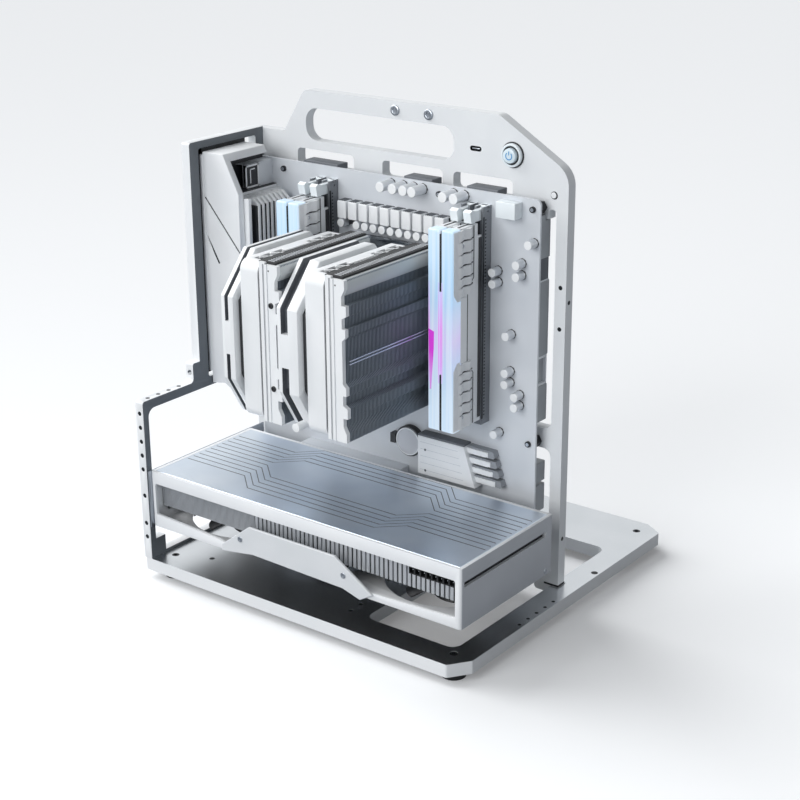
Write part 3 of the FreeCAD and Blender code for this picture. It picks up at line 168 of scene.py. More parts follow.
# Base plate: 9 mm aluminium, milled with clipped corners and a large window. Its top is bead-blasted
# and anodised clear, its edges are powder-coated, and it stands on four feet.
def coating(name, light, dark, roughness, metallic=0.0, grain=0.6, relief=0.05, cloud=35.0,
            stretch=(1, 1, 1)):
    """Surface with a grain in millimetres, slow colour clouds and roughness that follows the grain."""
    material = bpy.data.materials.new(name)
    material.use_nodes = True
    tree = material.node_tree
    shader = tree.nodes["Principled BSDF"]
    shader.inputs["Metallic"].default_value = metallic
    place = add_node(tree, "ShaderNodeTexCoord", {})
    turned = add_node(tree, "ShaderNodeMapping", {"Scale": stretch}, Vector=place.outputs["Object"])
    fine = add_node(tree, "ShaderNodeTexNoise", {"Scale": 1000 / grain, "Detail": 3.0},
                    Vector=turned.outputs[0])
    slow = add_node(tree, "ShaderNodeTexNoise", {"Scale": 1000 / cloud, "Detail": 2.0},
                    Vector=place.outputs["Object"])
    blend = add_node(tree, "ShaderNodeMapRange", {"From Min": 0.3, "From Max": 0.7},
                     Value=slow.outputs["Fac"])
    colour = add_node(tree, "ShaderNodeMix", {"data_type": "RGBA"}, Factor=blend.outputs[0])
    colour.inputs[6].default_value = linear(light)
    colour.inputs[7].default_value = linear(dark)
    tree.links.new(colour.outputs[2], shader.inputs["Base Color"])
    rough = add_node(tree, "ShaderNodeMapRange", {"To Min": roughness * 0.88, "To Max": roughness * 1.12},
                     Value=fine.outputs["Fac"])
    tree.links.new(rough.outputs[0], shader.inputs["Roughness"])
    bump = add_node(tree, "ShaderNodeBump", {"Strength": relief, "Distance": grain / 2000},
                    Height=fine.outputs["Fac"])
    tree.links.new(bump.outputs[0], shader.inputs["Normal"])
    return material


def settle(piece, node, edge=0.0, segments=2, replaces=True):
    """Smooth a piece, soften its edges in millimetres, and let it ride and stand for its CAD node."""
    piece.data.shade_smooth()
    if edge:
        soften = piece.modifiers.new("edge", "BEVEL")
        soften.width = edge / 1000
        soften.segments = segments
        soften.limit_method = "ANGLE"
        soften.angle_limit = math.radians(35)
        soften.harden_normals = True
    else:
        piece.data.set_sharp_from_angle(angle=math.radians(30))
    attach(piece, node_body[node])
    if replaces:
        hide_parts(node)
    return piece


def merged(node):
    """The mesh of a CAD node with doubles merged and its flat faces joined, as a bmesh."""
    bm = bmesh.new()
    bm.from_mesh(frame["nodes"][node].data)
    bmesh.ops.remove_doubles(bm, verts=bm.verts, dist=2e-6)
    bmesh.ops.dissolve_limit(bm, angle_limit=math.radians(0.8), verts=bm.verts, edges=bm.edges)
    return bm


def dress(node, material, edge, segments=2, keep=None, suffix="dressed"):
    """Copy of a CAD node, or of the part that keep() picks by its vertices, in a real finish."""
    bm = merged(node)
    if keep:
        bmesh.ops.delete(bm, geom=[vert for vert in bm.verts if not keep(vert.co * 1000)], context="VERTS")
    return settle(mesh_object(f"{node}_{suffix}", bm, material), node, edge, segments)


def paint(piece, material, chosen):
    """Another finish on the faces that chosen() picks."""
    piece.data.materials.append(material)
    for face in piece.data.polygons:
        if chosen(face):
            face.material_index = len(piece.data.materials) - 1


def level_faces(piece):
    """Let the large flat faces of a bevelled piece shade flat right up to their bevels."""
    piece.modifiers["edge"].harden_normals = False
    level = piece.modifiers.new("level", "WEIGHTED_NORMAL")
    level.weight = 100


# A powder coat hides the milling under a soft white skin. Bead-blasted and anodised, the metal has a
# satin shine: pale where it sees the room, dark where it sees the card.
powder_coat = coating("powder_coated_aluminium", "EEF0F2", "E9ECEE", 0.42)
satin_anodised = coating("bead_blasted_anodised_aluminium", "DDE0E4", "D5D9DD", 0.28, metallic=1.0, grain=0.3)
base = dress("base_plate", satin_anodised, 0.5)
level_faces(base)
paint(base, powder_coat, lambda face: abs(face.normal.z) < 0.5)


# Feet: turned black rubber, matt, screwed on from above with socket screws in black oxide. The same
# screws in zinc, set in from below and from behind, join the plates.
def turned(bm, centre, direction, profile, sides=32):
    """Turned solid about an axis from (radius, height) pairs; a third value makes that ring hexagonal."""
    aim = Vector(direction).to_track_quat("Z", "Y").to_matrix()
    rings = []
    for radius, height, *hexagonal in profile:
        ring = []
        for step in range(sides if radius else 1):
            angle = 2 * math.pi * step / sides
            reach = radius
            if hexagonal:
                reach = radius * math.cos(math.pi / 6) / math.cos(angle % (math.pi / 3) - math.pi / 6)
            spot = Vector((reach * math.cos(angle), reach * math.sin(angle), height))
            ring.append(bm.verts.new(Vector(centre) + aim @ spot))
        rings.append(ring)
    if profile[0] == profile[-1]:
        bmesh.ops.delete(bm, geom=rings[-1], context="VERTS")
        rings[-1] = rings[0]
    for one, two in zip(rings, rings[1:]):
        for here in range(sides):
            there = (here + 1) % sides
            loop = [one[here % len(one)], one[there % len(one)], two[there % len(two)], two[here % len(two)]]
            loop = list(dict.fromkeys(loop))
            if len(loop) > 2:
                bm.faces.new(loop)


def drawn(name, bm, material, node, edge=0.0, segments=2, replaces=False):
    """Finished piece from a bmesh drawn in millimetres."""
    bmesh.ops.scale(bm, vec=(0.001, 0.001, 0.001), verts=bm.verts)
    bmesh.ops.recalc_face_normals(bm, faces=bm.faces)
    return settle(mesh_object(name, bm, material), node, edge, segments, replaces)


def solid_boxes(node):
    """Low and high corner, in millimetres, of each separate solid of a CAD node, from left to right."""
    bm = merged(node)
    left = set(bm.verts)
    boxes = []
    while left:
        stack = [left.pop()]
        found = list(stack)
        while stack:
            for edge in stack.pop().link_edges:
                for vert in edge.verts:
                    if vert in left:
                        left.remove(vert)
                        found.append(vert)
                        stack.append(vert)
        low = Vector([min(vert.co[i] for vert in found) * 1000 for i in range(3)])
        high = Vector([max(vert.co[i] for vert in found) * 1000 for i in range(3)])
        boxes.append((low, high))
    bm.free()
    return sorted(boxes, key=lambda box: tuple(box[0]))


def socket_screws(node, heads, head_height, socket, shank, material, dome=0.35):
    """Hexagon-socket screws in the places and lengths of a CAD node; heads gives the way they face."""
    bm = bmesh.new()
    for low, high in solid_boxes(node):
        span = high - low
        axis = max(("xyz".index(name) for name in heads), key=lambda i: span[i])
        direction = Vector(heads["xyz"[axis]])
        top = (low + high) / 2 + direction * span[axis] / 2
        radius = min(span[(axis + 1) % 3], span[(axis + 2) % 3]) / 2
        length = span[axis]
        turned(bm, top, direction, [
            (0, -length), (shank - 0.3, -length), (shank, -length + 0.4), (shank, -head_height),
            (radius, -head_height), (radius, -dome), (radius * 0.93, -dome * 0.35), (radius * 0.78, 0),
            (socket + 0.35, 0), (socket, -0.15, 6), (socket, -head_height * 0.7, 6), (0, -head_height * 0.8),
        ], 24)
    return drawn(f"{node}_turned", bm, material, node, replaces=True)


# Rubber drinks the light. Zinc has a bright, slightly cloudy shine; black oxide only a dull gleam.
rubber = coating("moulded_rubber_and_painted_shade", "1A1B1D", "232528", 0.7, grain=0.8, relief=0.15)
zinc = coating("zinc_plated_steel", "B4B9C0", "A2A8B0", 0.3, metallic=1.0, grain=0.4)
black_oxide = coating("black_oxide_steel", "1E2024", "2A2C31", 0.4, metallic=0.6, grain=0.4)
dress("feet", rubber, 0.4)
socket_screws("foot_screws", {"z": (0, 0, 1)}, 1.9, 1.4, 1.5, black_oxide, 0.2)
socket_screws("frame_screws", {"z": (0, 0, -1), "y": (0, 1, 0)}, 1.9, 1.4, 1.5, zinc, 0.2)


# Tapped holes of the base, filled black level with the plate as painted shade of the holes. Five stand in a
# row at its right edge, one behind them and three near the left and the front edge.
def extent(node):
    """Low and high corner of a CAD node, in millimetres."""
    low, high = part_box(node)
    return low * 1000, high * 1000


def pin(bm, top, direction, radius, depth, sides=20):
    """Round pin that reaches back from its top."""
    turned(bm, top, direction, [(0, -depth), (radius, -depth), (radius, 0), (0, 0)], sides)


low, high = extent("base_plate")
row_pitch = 10.1
tapped = [(high.x - 3.2, low.y + 71.0 + row_pitch * step, 1.28) for step in range(5)]
tapped += [(high.x - 3.7, high.y - 92.0, 2.38), (low.x + 40.0, low.y + 25.5, 1.98)]
tapped += [(low.x + 167.0, low.y + 33.0, 1.58), (low.x + 167.0, low.y + 22.0, 1.58)]
# Painted shade: black fills in the tapped holes.
bm = bmesh.new()
for x, y, radius in tapped:
    pin(bm, (x, y, high.z - 0.05), (0, 0, 1), radius, 6.0)
drawn("base_hole_shade", bm, black_oxide, "base_plate")


# Upright plate: 8 mm aluminium, milled with handle, cable slots and windows, then powder-coated in
# off-white with a very fine orange peel. Black fills in the tapped holes of its narrow stile and a black
# ring round its plug are painted shade, and a black strip between the stile and the base is a painted shadow.
def block(bm, low, high, edge=0.0, segments=2):
    """Block between two corners in millimetres, its edges rounded."""
    low, high = Vector(low), Vector(high)
    scale = Matrix.Diagonal((*(high - low), 1.0))
    made = bmesh.ops.create_cube(bm, size=1.0, matrix=Matrix.Translation((low + high) / 2) @ scale)
    if edge:
        edges = list({side for vert in made["verts"] for side in vert.link_edges})
        bmesh.ops.bevel(bm, geom=edges, offset=edge, segments=segments, profile=0.5, affect="EDGES",
                        material=-1)


# This is the same powder coat as on the other plates, drawn a touch greyer as painted shade, with the same
# soft sheen.
shaded_plate_coat = coating("powder_coat_painted_shade", "E6E9EB", "E1E4E7", 0.42)
upright = dress("upright_plate", shaded_plate_coat, 0.6)
level_faces(upright)
socket_screws("handle_screws", {"y": (0, -1, 0)}, 1.2, 1.9, 1.5, zinc)

low, high = extent("upright_plate")
front_holes = (223.3, 195.9)
edge_holes = (213.3, 49.3)
hole_radius = 1.48
hole_depth = 5.0
plug_level = high.z - 46.0
shadow_strip_foot, shadow_strip_top = 15.05, 16.3
bm = bmesh.new()
# Painted shade: black fills in the holes, a black strip under the stile and a black ring behind the plug.
for z in front_holes:
    pin(bm, (high.x - 4.2, low.y + 0.1, z), (0, -1, 0), hole_radius, hole_depth)
for z in edge_holes:
    pin(bm, (high.x - 0.1, (low.y + high.y) / 2, z), (1, 0, 0), hole_radius, hole_depth)
block(bm, (high.x - 11.0, low.y - 0.2, shadow_strip_foot), (high.x + 0.2, high.y, shadow_strip_top))
pin(bm, (high.x - 10.4, low.y + 0.1, plug_level), (0, -1, 0), 2.55, 4.0, 24)
drawn("stile_hole_and_gap_shade", bm, black_oxide, "upright_plate")
bm = bmesh.new()
turned(bm, (high.x - 10.8, low.y, plug_level), (0, -1, 0), [
    (0, -3.0), (1.95, -3.0), (1.95, 0.1), (1.7, 0.3), (0, 0.3),
], 24)
drawn("stile_plug", bm, powder_coat, "upright_plate")

# Side frame: milled from one plate in the same coat, screwed to the upright and to the base. Its inner
# face is painted grey as painted shade, and its tapped holes, filled black as painted shade, stand in
# rows for the card's bracket.
painted_shade_grey = coating("painted_shade_inner_face", "6A7076", "62686E", 0.5)
side = dress("side_frame", powder_coat, 0.5)
# Painted shade: the faces that look along +X are coloured grey.
paint(side, painted_shade_grey, lambda face: face.normal.x > 0.95)
low, high = extent("side_frame")
middle_x = (low.x + high.x) / 2
front_row = (31.3, 41.6, 62.2, 81.8, 92.0, 102.2, 112.4, 122.6)
step_top = 131.4
hole_radius = 1.58
hole_depth = 3.0
# Painted shade: black fills just inside the tapped holes.
bm = bmesh.new()
for z in front_row:
    pin(bm, (middle_x, low.y + 0.15, z), (0, -1, 0), hole_radius, hole_depth)
for step in range(5):
    pin(bm, (middle_x, low.y + 8.5 + 10 * step, step_top), (0, 0, 1), hole_radius, hole_depth)
drawn("side_hole_shade", bm, black_oxide, "side_frame")

# Power button: a moulded ring with its barrel through the upright, a nut behind, a black seal and a
# glossy pale cap. The lamp behind the cap is not drawn; its light is painted into the power symbol as a blue
# print.
# Plastic and acrylic mirror the room in a small highlight; the anodised nut has a fine metal sheen.
anodised = coating("clear_anodised_aluminium", "E3E6EA", "D6DADF", 0.24, metallic=1.0, grain=0.3)
gloss_white = coating("gloss_moulded_plastic", "EDF3F6", "E4ECF0", 0.15)
pale_cap = coating("pale_blue_acrylic", "E4F0F6", "DAE9F1", 0.12)
painted_glow_blue = coating("painted_glow_blue_print", "5FA4D6", "4E95CB", 0.35)
low, high = extent("button_bezel")
middle = Vector(((low.x + high.x) / 2, low.y, (low.z + high.z) / 2))
tail = high.y - low.y
bm = bmesh.new()
turned(bm, middle, (0, -1, 0), [
    (5.6, -tail), (7.0, -tail), (7.0, -3.0), (7.5, -3.0), (7.5, -0.6), (7.3, -0.15), (6.9, 0.0), (6.3, 0.0),
    (6.1, -0.2), (6.0, -1.2), (5.6, -1.3), (5.6, -tail),
], 64)
drawn("button_ring", bm, gloss_white, "button_bezel", replaces=True)
bm = bmesh.new()
turned(bm, middle, (0, -1, 0), [(7.0, -3.0), (8.3, -3.0), (8.3, -2.4), (7.4, -2.2), (7.0, -3.0)], 64)
turned(bm, middle, (0, -1, 0), [(4.9, -1.4), (6.1, -1.4), (6.1, -0.7), (4.9, -0.7), (4.9, -1.4)], 64)
drawn("button_seal", bm, rubber, "button_bezel")
dress("button_nut", anodised, 0.3)
low, high = extent("button_cap")
depth = high.y - low.y
face = Vector((middle.x, low.y, middle.z))
bm = bmesh.new()
turned(bm, face, (0, -1, 0), [
    (0, -depth), (5.2, -depth), (5.2, -3.2), (4.7, -3.1), (4.7, -0.6), (4.5, -0.2), (4.1, -0.05), (0, 0),
], 48)
drawn("button_face", bm, pale_cap, "button_cap", replaces=True)

# Painted glow: the symbol is printed in the blue of the lamp light, with no lamp of its own.
symbol_inner, symbol_outer, print_height = 1.9, 2.6, 0.05
bm = bmesh.new()
sections = []
for degrees in range(130, 411, 10):
    angle = math.radians(degrees)
    sections.append([
        bm.verts.new((face.x + reach * math.cos(angle), face.y - lift, face.z + reach * math.sin(angle)))
        for reach, lift in ((symbol_inner, 0.0), (symbol_outer, 0.0), (symbol_outer, print_height),
                            (symbol_inner, print_height))])
for one, two in zip(sections, sections[1:]):
    for here in range(4):
        there = (here + 1) % 4
        bm.faces.new((one[here], one[there], two[there], two[here]))
bm.faces.new(sections[0])
bm.faces.new(sections[-1])
block(bm, (face.x - 0.35, face.y - print_height, face.z + 0.5), (face.x + 0.35, face.y, face.z + 3.0))
drawn("button_symbol", bm, painted_glow_blue, "button_cap")

# Charging socket: a drawn steel shell in black oxide with a plated tongue, set in its slot in the
# upright and held there by a press fit.
dress("usb_socket", black_oxide, 0)
low, high = extent("usb_socket")
bm = bmesh.new()
block(bm, (low.x + 1.5, low.y + 0.1, low.z + 1.2), (high.x - 1.5, high.y - 1.0, high.z - 1.2), 0.3)
drawn("usb_tongue", bm, zinc, "usb_socket")

# Standoffs and screws: black hexagonal standoffs hold the board off the upright. The small screws
# through the board have black heads, drawn slimmer than their node, with a painted highlight: a bright zinc
# disc in each centre.
dress("standoffs", black_oxide, 0.2)
small = socket_screws("board_screws", {"y": (0, -1, 0)}, 1.8, 1.3, 1.5, black_oxide)
slimmer = 0.72
reach = 0.006
# Painted highlight: a bright zinc disc sits in the socket of each head.
bm = bmesh.new()
for low, high in solid_boxes("board_screws"):
    spot = (low + high) / 2000
    for vert in small.data.vertices:
        if abs(vert.co.x - spot.x) < reach and abs(vert.co.z - spot.z) < reach:
            vert.co.x = spot.x + (vert.co.x - spot.x) * slimmer
            vert.co.z = spot.z + (vert.co.z - spot.z) * slimmer
    turned(bm, ((low.x + high.x) / 2, low.y + 0.2, (low.z + high.z) / 2), (0, -1, 0), [
        (0, -0.2), (1.2, -0.2), (1.2, 0.28), (0, 0.28),
    ], 20)
drawn("screw_centre_highlights", bm, zinc, "board_screws")

# Main board: glass laminate under a white solder mask, smooth and slightly glossy, with a faint cloud
# in its colour. Screws hold it on the standoffs.
solder_mask = coating("white_solder_mask", "D9DDE2", "CDD2D8", 0.32, grain=2.0, relief=0.02)
level_faces(dress("motherboard", solder_mask, 0.15))

# Processor and its socket: a stamped lid, nickel-plated to a clean warm mirror, in a stamped steel
# frame in black oxide that clamps it down.
nickel = coating("nickel_plate", "C9CDD2", "BFC4CA", 0.18, metallic=1.0)
dress("processor", nickel, 0.3)
dress("cpu_socket", black_oxide, 0.3)


# Port cover: moulded shell over the rear ports, satin white, with two slanted grooves in its face and
# a flange at the side frame. The ports stand in its recess. Black strips in the grooves and black sheets on
# the walls of the recess are painted shade.
def prism(bm, corners, plane, low, high):
    """Straight solid with a drawn outline, in millimetres."""
    lift = {"xy": (0, 1, 2), "xz": (0, 2, 1), "yz": (2, 0, 1)}[plane]
    ends = []
    for level in (low, high):
        ends.append([bm.verts.new([(u, v, level)[lift[i]] for i in range(3)]) for u, v in corners])
    bm.faces.new(ends[0])
    bm.faces.new(ends[1])
    for here in range(len(corners)):
        there = (here + 1) % len(corners)
        bm.faces.new((ends[0][here], ends[0][there], ends[1][there], ends[1][here]))


def carve(piece, name, bm):
    """Cut a cutter drawn in millimetres out of a piece."""
    bmesh.ops.scale(bm, vec=(0.001, 0.001, 0.001), verts=bm.verts)
    bmesh.ops.recalc_face_normals(bm, faces=bm.faces)
    cutter = mesh_object(name, bm, black_and_painted_shade)
    cut = piece.modifiers.new("cut", "BOOLEAN")
    cut.operation = "DIFFERENCE"
    cut.solver = "EXACT"
    cut.object = cutter
    piece.modifiers.move(len(piece.modifiers) - 1, 0)
    kept = [modifier for modifier in piece.modifiers if modifier != cut]
    for modifier in kept:
        modifier.show_viewport = False
    bpy.context.view_layer.update()
    result = bpy.data.meshes.new_from_object(piece.evaluated_get(bpy.context.evaluated_depsgraph_get()))
    for modifier in kept:
        modifier.show_viewport = True
    piece.modifiers.remove(cut)
    piece.data = result
    bpy.data.objects.remove(cutter)


# Matt black for black mouldings, also used as painted shade in grooves, recesses and gaps; the shell has a
# soft gleam on its rounded edges.
black_and_painted_shade = coating("moulded_black_and_painted_shade", "26282C", "1F2125", 0.45)
cover_white = coating("satin_moulded_shell", "ECEEF0", "E6E9EC", 0.38)
cover = dress("io_shroud", cover_white, 0.6)
low, high = extent("io_shroud")
cover_face = low.y
bm = bmesh.new()
for (x0, z0), (x1, z1) in (((-126.9, 259.6), (-96.6, 225.0)), ((-126.9, 234.2), (-116.4, 215.6))):
    prism(bm, [(x0 - 1.5, z0 + 1.7), (x0 - 0.6, z0 + 2.2), (x1 + 0.9, z1 - 0.2), (x1, z1 - 0.7)], "xz",
          cover_face - 1.0, cover_face + 0.8)
carve(cover, "cover_grooves", bm)
# Painted shade: black strips laid in the slanted grooves.
bm = bmesh.new()
for stripe in ([(-126.9, 259.9), (-126.2, 260.2), (-96.7, 226.3), (-96.7, 225.2)],
               [(-126.4, 235.0), (-126.0, 235.2), (-115.4, 215.6), (-117.4, 214.4)]):
    prism(bm, stripe, "xz", cover_face + 0.02, cover_face + 0.8)
drawn("groove_shade_strips", bm, black_and_painted_shade, "io_shroud")
bm = bmesh.new()
block(bm, (low.x - 2.9, cover_face, 135.0), (low.x + 0.2, cover_face + 2.4, 289.0), 0.3)
drawn("cover_flange", bm, cover_white, "io_shroud")
# Painted shade: a black strip in the gap between the side frame and the cover, drawn in the rubber finish.
gap_shade_left, gap_shade_right, gap_shade_top = -131.6, -130.5, 293.2
bm = bmesh.new()
block(bm, (gap_shade_left, cover_face - 3.0, 134.0), (gap_shade_right, cover_face + 2.4, gap_shade_top))
block(bm, (gap_shade_left, cover_face - 3.0, 288.6), (gap_shade_right, -14.0, gap_shade_top))
drawn("frame_gap_shade", bm, rubber, "side_frame")
recess_near, recess_far = -54.7, -7.3
# Painted shade: black sheets on the walls of the port recess.
bm = bmesh.new()
block(bm, (-121.0, recess_near, 262.4), (-120.5, recess_far, 286.0))
block(bm, (-120.4, recess_near, 262.25), (-108.2, recess_far, 262.6))
block(bm, (-120.4, recess_near, 285.7), (-108.0, -18.2, 286.1))
drawn("recess_shade_sheets", bm, black_and_painted_shade, "io_shroud")

# Rear ports: tin-plated and moulded port blocks with open mouths. One connector shell stands in the
# recess and shows a white rim, a black mouth painted as the shade of its opening, and a pale label on its
# side.
tin = coating("tinned_solder", "C9CDD1", "BCC1C6", 0.35, metallic=1.0)
ports = dress("io_ports", tin, 0.25)
shell_foot = 250
bm = bmesh.new()
for low, high in [box for box in solid_boxes("io_ports") if box[0].z < shell_foot]:
    mouths = 2 if high.y - low.y > 20 else 1
    pitch = (high.y - low.y - 2.0) / mouths
    for step in range(mouths):
        near = low.y + 1.5 + pitch * step
        block(bm, (low.x - 0.01, near, low.z + 2.0), (low.x + 3.0, near + pitch - 1.5, high.z - 2.0))
carve(ports, "port_mouths", bm)
shell_side = extent("io_ports")[1].x + 0.02
bm = bmesh.new()
for near, bottom, far, top in (
        (-34.9, 263.0, -33.7, 278.8), (-22.6, 263.0, -21.4, 278.8), (-34.9, 277.6, -21.4, 278.8),
        (-34.9, 263.0, -21.4, 264.2), (-30.4, 266.0, -29.6, 276.0), (-30.4, 275.2, -25.4, 276.0)):
    block(bm, (shell_side, near, bottom), (shell_side + 0.35, far, top))
drawn("connector_rim", bm, cover_white, "io_ports")
# Painted shade: a thin black sheet stands for the dark opening of the connector.
bm = bmesh.new()
block(bm, (shell_side, -34.9, 262.6), (shell_side + 0.12, -21.4, 279.1))
drawn("connector_mouth_shade", bm, black_and_painted_shade, "io_ports")
bm = bmesh.new()
block(bm, (shell_side, -21.2, 262.5), (shell_side + 0.12, -7.2, 279.15))
block(bm, (-133.9, -35.0, 279.1), (shell_side, -7.2, 279.3))
drawn("connector_label", bm, solder_mask, "io_ports")

# Voltage heatsink: extruded aluminium fins in the side bay of the cover, powder-coated in white, with
# painted shade between them: black blocks in the gaps. Screws from behind the board hold it.
dress("vrm_heatsink", powder_coat, 0.3)
low, high = extent("vrm_heatsink")
fin_pitch = 4.3
# Painted shade: black blocks fill the gaps between the fins.
bm = bmesh.new()
for step in range(8):
    near = low.y + 6.6 + fin_pitch * step
    block(bm, (low.x + 3.8, near + 0.02, low.z + 0.3), (high.x - 0.5, near + 1.98, high.z - 6.0))
drawn("heatsink_gap_shade", bm, black_and_painted_shade, "vrm_heatsink")

# Power chokes: square pressed cores, pale and matt, on darker moulded formers that show as ribs on
# top. A black plinth stands in the board below the row.
choke_shell = coating("pressed_ferrite_core", "EEF0F2", "E6E9EC", 0.4)
former_grey = coating("grey_moulded_former", "6A6E74", "5C6066", 0.5)
dress("power_chokes", choke_shell, 0.7, 3)
chokes = solid_boxes("power_chokes")
bm = bmesh.new()
for low, high in chokes:
    for step in range(4):
        left = low.x + 0.9 + 1.45 * step
        block(bm, (left, low.y + 0.9, high.z - 0.1), (left + 0.8, high.y - 0.2, high.z + 0.45), 0.15, 1)
    block(bm, (low.x + 0.4, high.y - 1.3, low.z - 0.35), (high.x - 0.4, high.y, high.z + 0.35), 0.15, 1)
drawn("choke_formers", bm, former_grey, "power_chokes")
(low, high), far_right = chokes[0], chokes[-1][1].x
bm = bmesh.new()
block(bm, (low.x - 0.6, high.y - 2.2, low.z - 4.5), (far_right + 0.6, high.y, high.z - 0.6))
drawn("choke_base", bm, black_and_painted_shade, "power_chokes")

# Can capacitors: drawn aluminium cans, satin rather than bright, with a rolled neck, a white printed
# top and a black foot that stands on the board.
can_metal = coating("drawn_aluminium_can", "DCDFE3", "CFD3D8", 0.35, metallic=0.5, grain=0.3)
white_print = coating("white_print", "F1F3F4", "ECEEF0", 0.4)
bodies = bmesh.new()
tops = bmesh.new()
foot_rings = bmesh.new()
for low, high in solid_boxes("capacitors"):
    radius = min(high.x - low.x, high.z - low.z) / 2
    root = Vector(((low.x + high.x) / 2, high.y, (low.z + high.z) / 2))
    tall = high.y - low.y
    turned(bodies, root, (0, -1, 0), [
        (0, 0), (radius, 0), (radius, 1.2), (radius - 0.25, 1.6), (radius, 2.0), (radius, tall - 0.6),
        (radius - 0.15, tall - 0.2), (radius - 0.5, tall), (radius - 0.7, tall - 0.05), (0, tall - 0.05),
    ], 24)
    turned(tops, root, (0, -1, 0), [
        (0, tall - 0.04), (radius - 0.25, tall - 0.04), (radius - 0.3, tall), (0, tall),
    ], 24)
    turned(foot_rings, root, (0, -1, 0), [
        (0, 0), (radius + 0.35, 0), (radius + 0.35, 0.7), (radius, 1.0), (0, 1.0),
    ], 8)
drawn("capacitor_cans", bodies, can_metal, "capacitors", replaces=True)
drawn("capacitor_tops", tops, white_print, "capacitors")
drawn("capacitor_feet", foot_rings, black_and_painted_shade, "capacitors")

# Cable sockets: a white header in front of the board. Behind it grey moulded sockets with a dull
# sheen reach into the upright's windows; a dark block of painted shade in the gap between two of them and an
# open cage close the row at the right.
grey_plastic = coating("pale_moulded_plastic", "E1E4E8", "D8DCE1", 0.45)
socket_grey = coating("grey_moulded_plastic", "A3A8AD", "969A9F", 0.4)
painted_gap_shade_grey = coating("painted_gap_shade_plastic", "62666D", "565A61", 0.5)
behind_board = -6.5
top_row_foot = 272.0
dress("board_connectors", gloss_white, 0.4, keep=lambda spot: spot.y < behind_board, suffix="header")
dress("board_connectors", socket_grey, 0.5, suffix="rear",
      keep=lambda spot: spot.y > behind_board and spot.z < top_row_foot)
top_row = dress("board_connectors", former_grey, 0.5, suffix="top_row",
                keep=lambda spot: spot.y > behind_board and spot.z > top_row_foot)
for vert in top_row.data.vertices:
    if vert.co.z > 0.282:
        vert.co.z -= 0.0018
row = [box for box in solid_boxes("board_connectors") if box[0].x > 80.0 and box[0].y > behind_board]
row.sort(key=lambda box: -box[0].z)
upper, middle, lower = row[:3]
# Painted shade: a dark block fills the gap between the middle and the upper socket.
bm = bmesh.new()
block(bm, (middle[0].x, middle[0].y, middle[1].z), (middle[1].x - 0.4, middle[1].y - 0.8, upper[0].z), 0.3)
drawn("socket_gap_shade", bm, painted_gap_shade_grey, "board_connectors")
low = Vector((middle[0].x, middle[0].y, lower[1].z))
high = Vector((middle[1].x - 0.2, middle[1].y - 0.6, middle[0].z))
ledge = middle[1].z
bm = bmesh.new()
block(bm, low, (high.x, high.y, low.z + 1.6), 0.4)
block(bm, (low.x, low.y, high.z - 1.6), high, 0.4)
block(bm, (low.x, low.y, low.z + 1.2), (high.x, low.y + 1.6, high.z - 1.2), 0.4)
block(bm, (low.x, high.y - 1.6, low.z + 1.2), (high.x, high.y, high.z - 1.2), 0.4)
block(bm, (low.x, low.y, ledge - 0.9), (high.x, high.y, ledge + 0.9), 0.3)
drawn("socket_cage", bm, grey_plastic, "board_connectors")
bm = bmesh.new()
block(bm, (low.x, low.y + 1.2, low.z + 1.2), (high.x - 2.0, high.y - 1.2, high.z - 1.2))
drawn("socket_cage_floor", bm, socket_grey, "board_connectors")

# Coin cell: pressed steel, brushed sideways so that its shine is soft, with a rolled rim whose highlight
# is painted as a white ring. A spring holds it in a black moulded holder.
cell_steel = coating("brushed_steel_cell", "C2C4C9", "B6B8BD", 0.45, metallic=0.3, stretch=(0.1, 1, 1))
low, high = extent("coin_cell")
root = Vector(((low.x + high.x) / 2, high.y, (low.z + high.z) / 2))
bm = bmesh.new()
turned(bm, root, (0, -1, 0), [
    (0, 0), (9.6, 0), (10.0, 0.3), (10.0, 2.6), (9.8, 3.0), (9.4, 3.2), (8.9, 3.15), (8.7, 3.0),
    (8.4, 2.98), (0, 2.98),
], 64)
drawn("cell_can", bm, cell_steel, "coin_cell", replaces=True)
# Painted highlight: a white ring on the rolled rim.
bm = bmesh.new()
turned(bm, root, (0, -1, 0), [(9.2, 3.1), (9.9, 2.9), (9.9, 3.25), (9.2, 3.3), (9.2, 3.1)], 64)
drawn("cell_rim_highlight", bm, cover_white, "coin_cell")
dress("cell_holder", black_and_painted_shade, 0.3)

# Drive cover: an aluminium plate over the drive, milled with faint lines, whose right end breaks up
# into pale fingers with grey studs. The lines are flat grey strips of painted shade. A dark strip closes its
# upper edge and two screws hold it.
cover_metal = coating("milled_aluminium_cover", "F2F4F6", "EAEDF0", 0.4)
painted_line_shade = coating("painted_shade_milled_line", "BFC5CC", "B7BEC6", 0.4)
stud_grey = coating("grey_anodised_stud", "9A9EA4", "8E9298", 0.45, metallic=0.1)
low, high = extent("drive_cover")
left, near, bottom = low
board_face, top = high.y, high.z
strip = 1.4
bm = bmesh.new()
prism(bm, [(left, bottom), (left + 47.5, bottom), (left + 38.0, top - strip), (left, top - strip)], "xz",
      near, board_face)
drawn("drive_plate", bm, cover_metal, "drive_cover", 0.2, replaces=True)
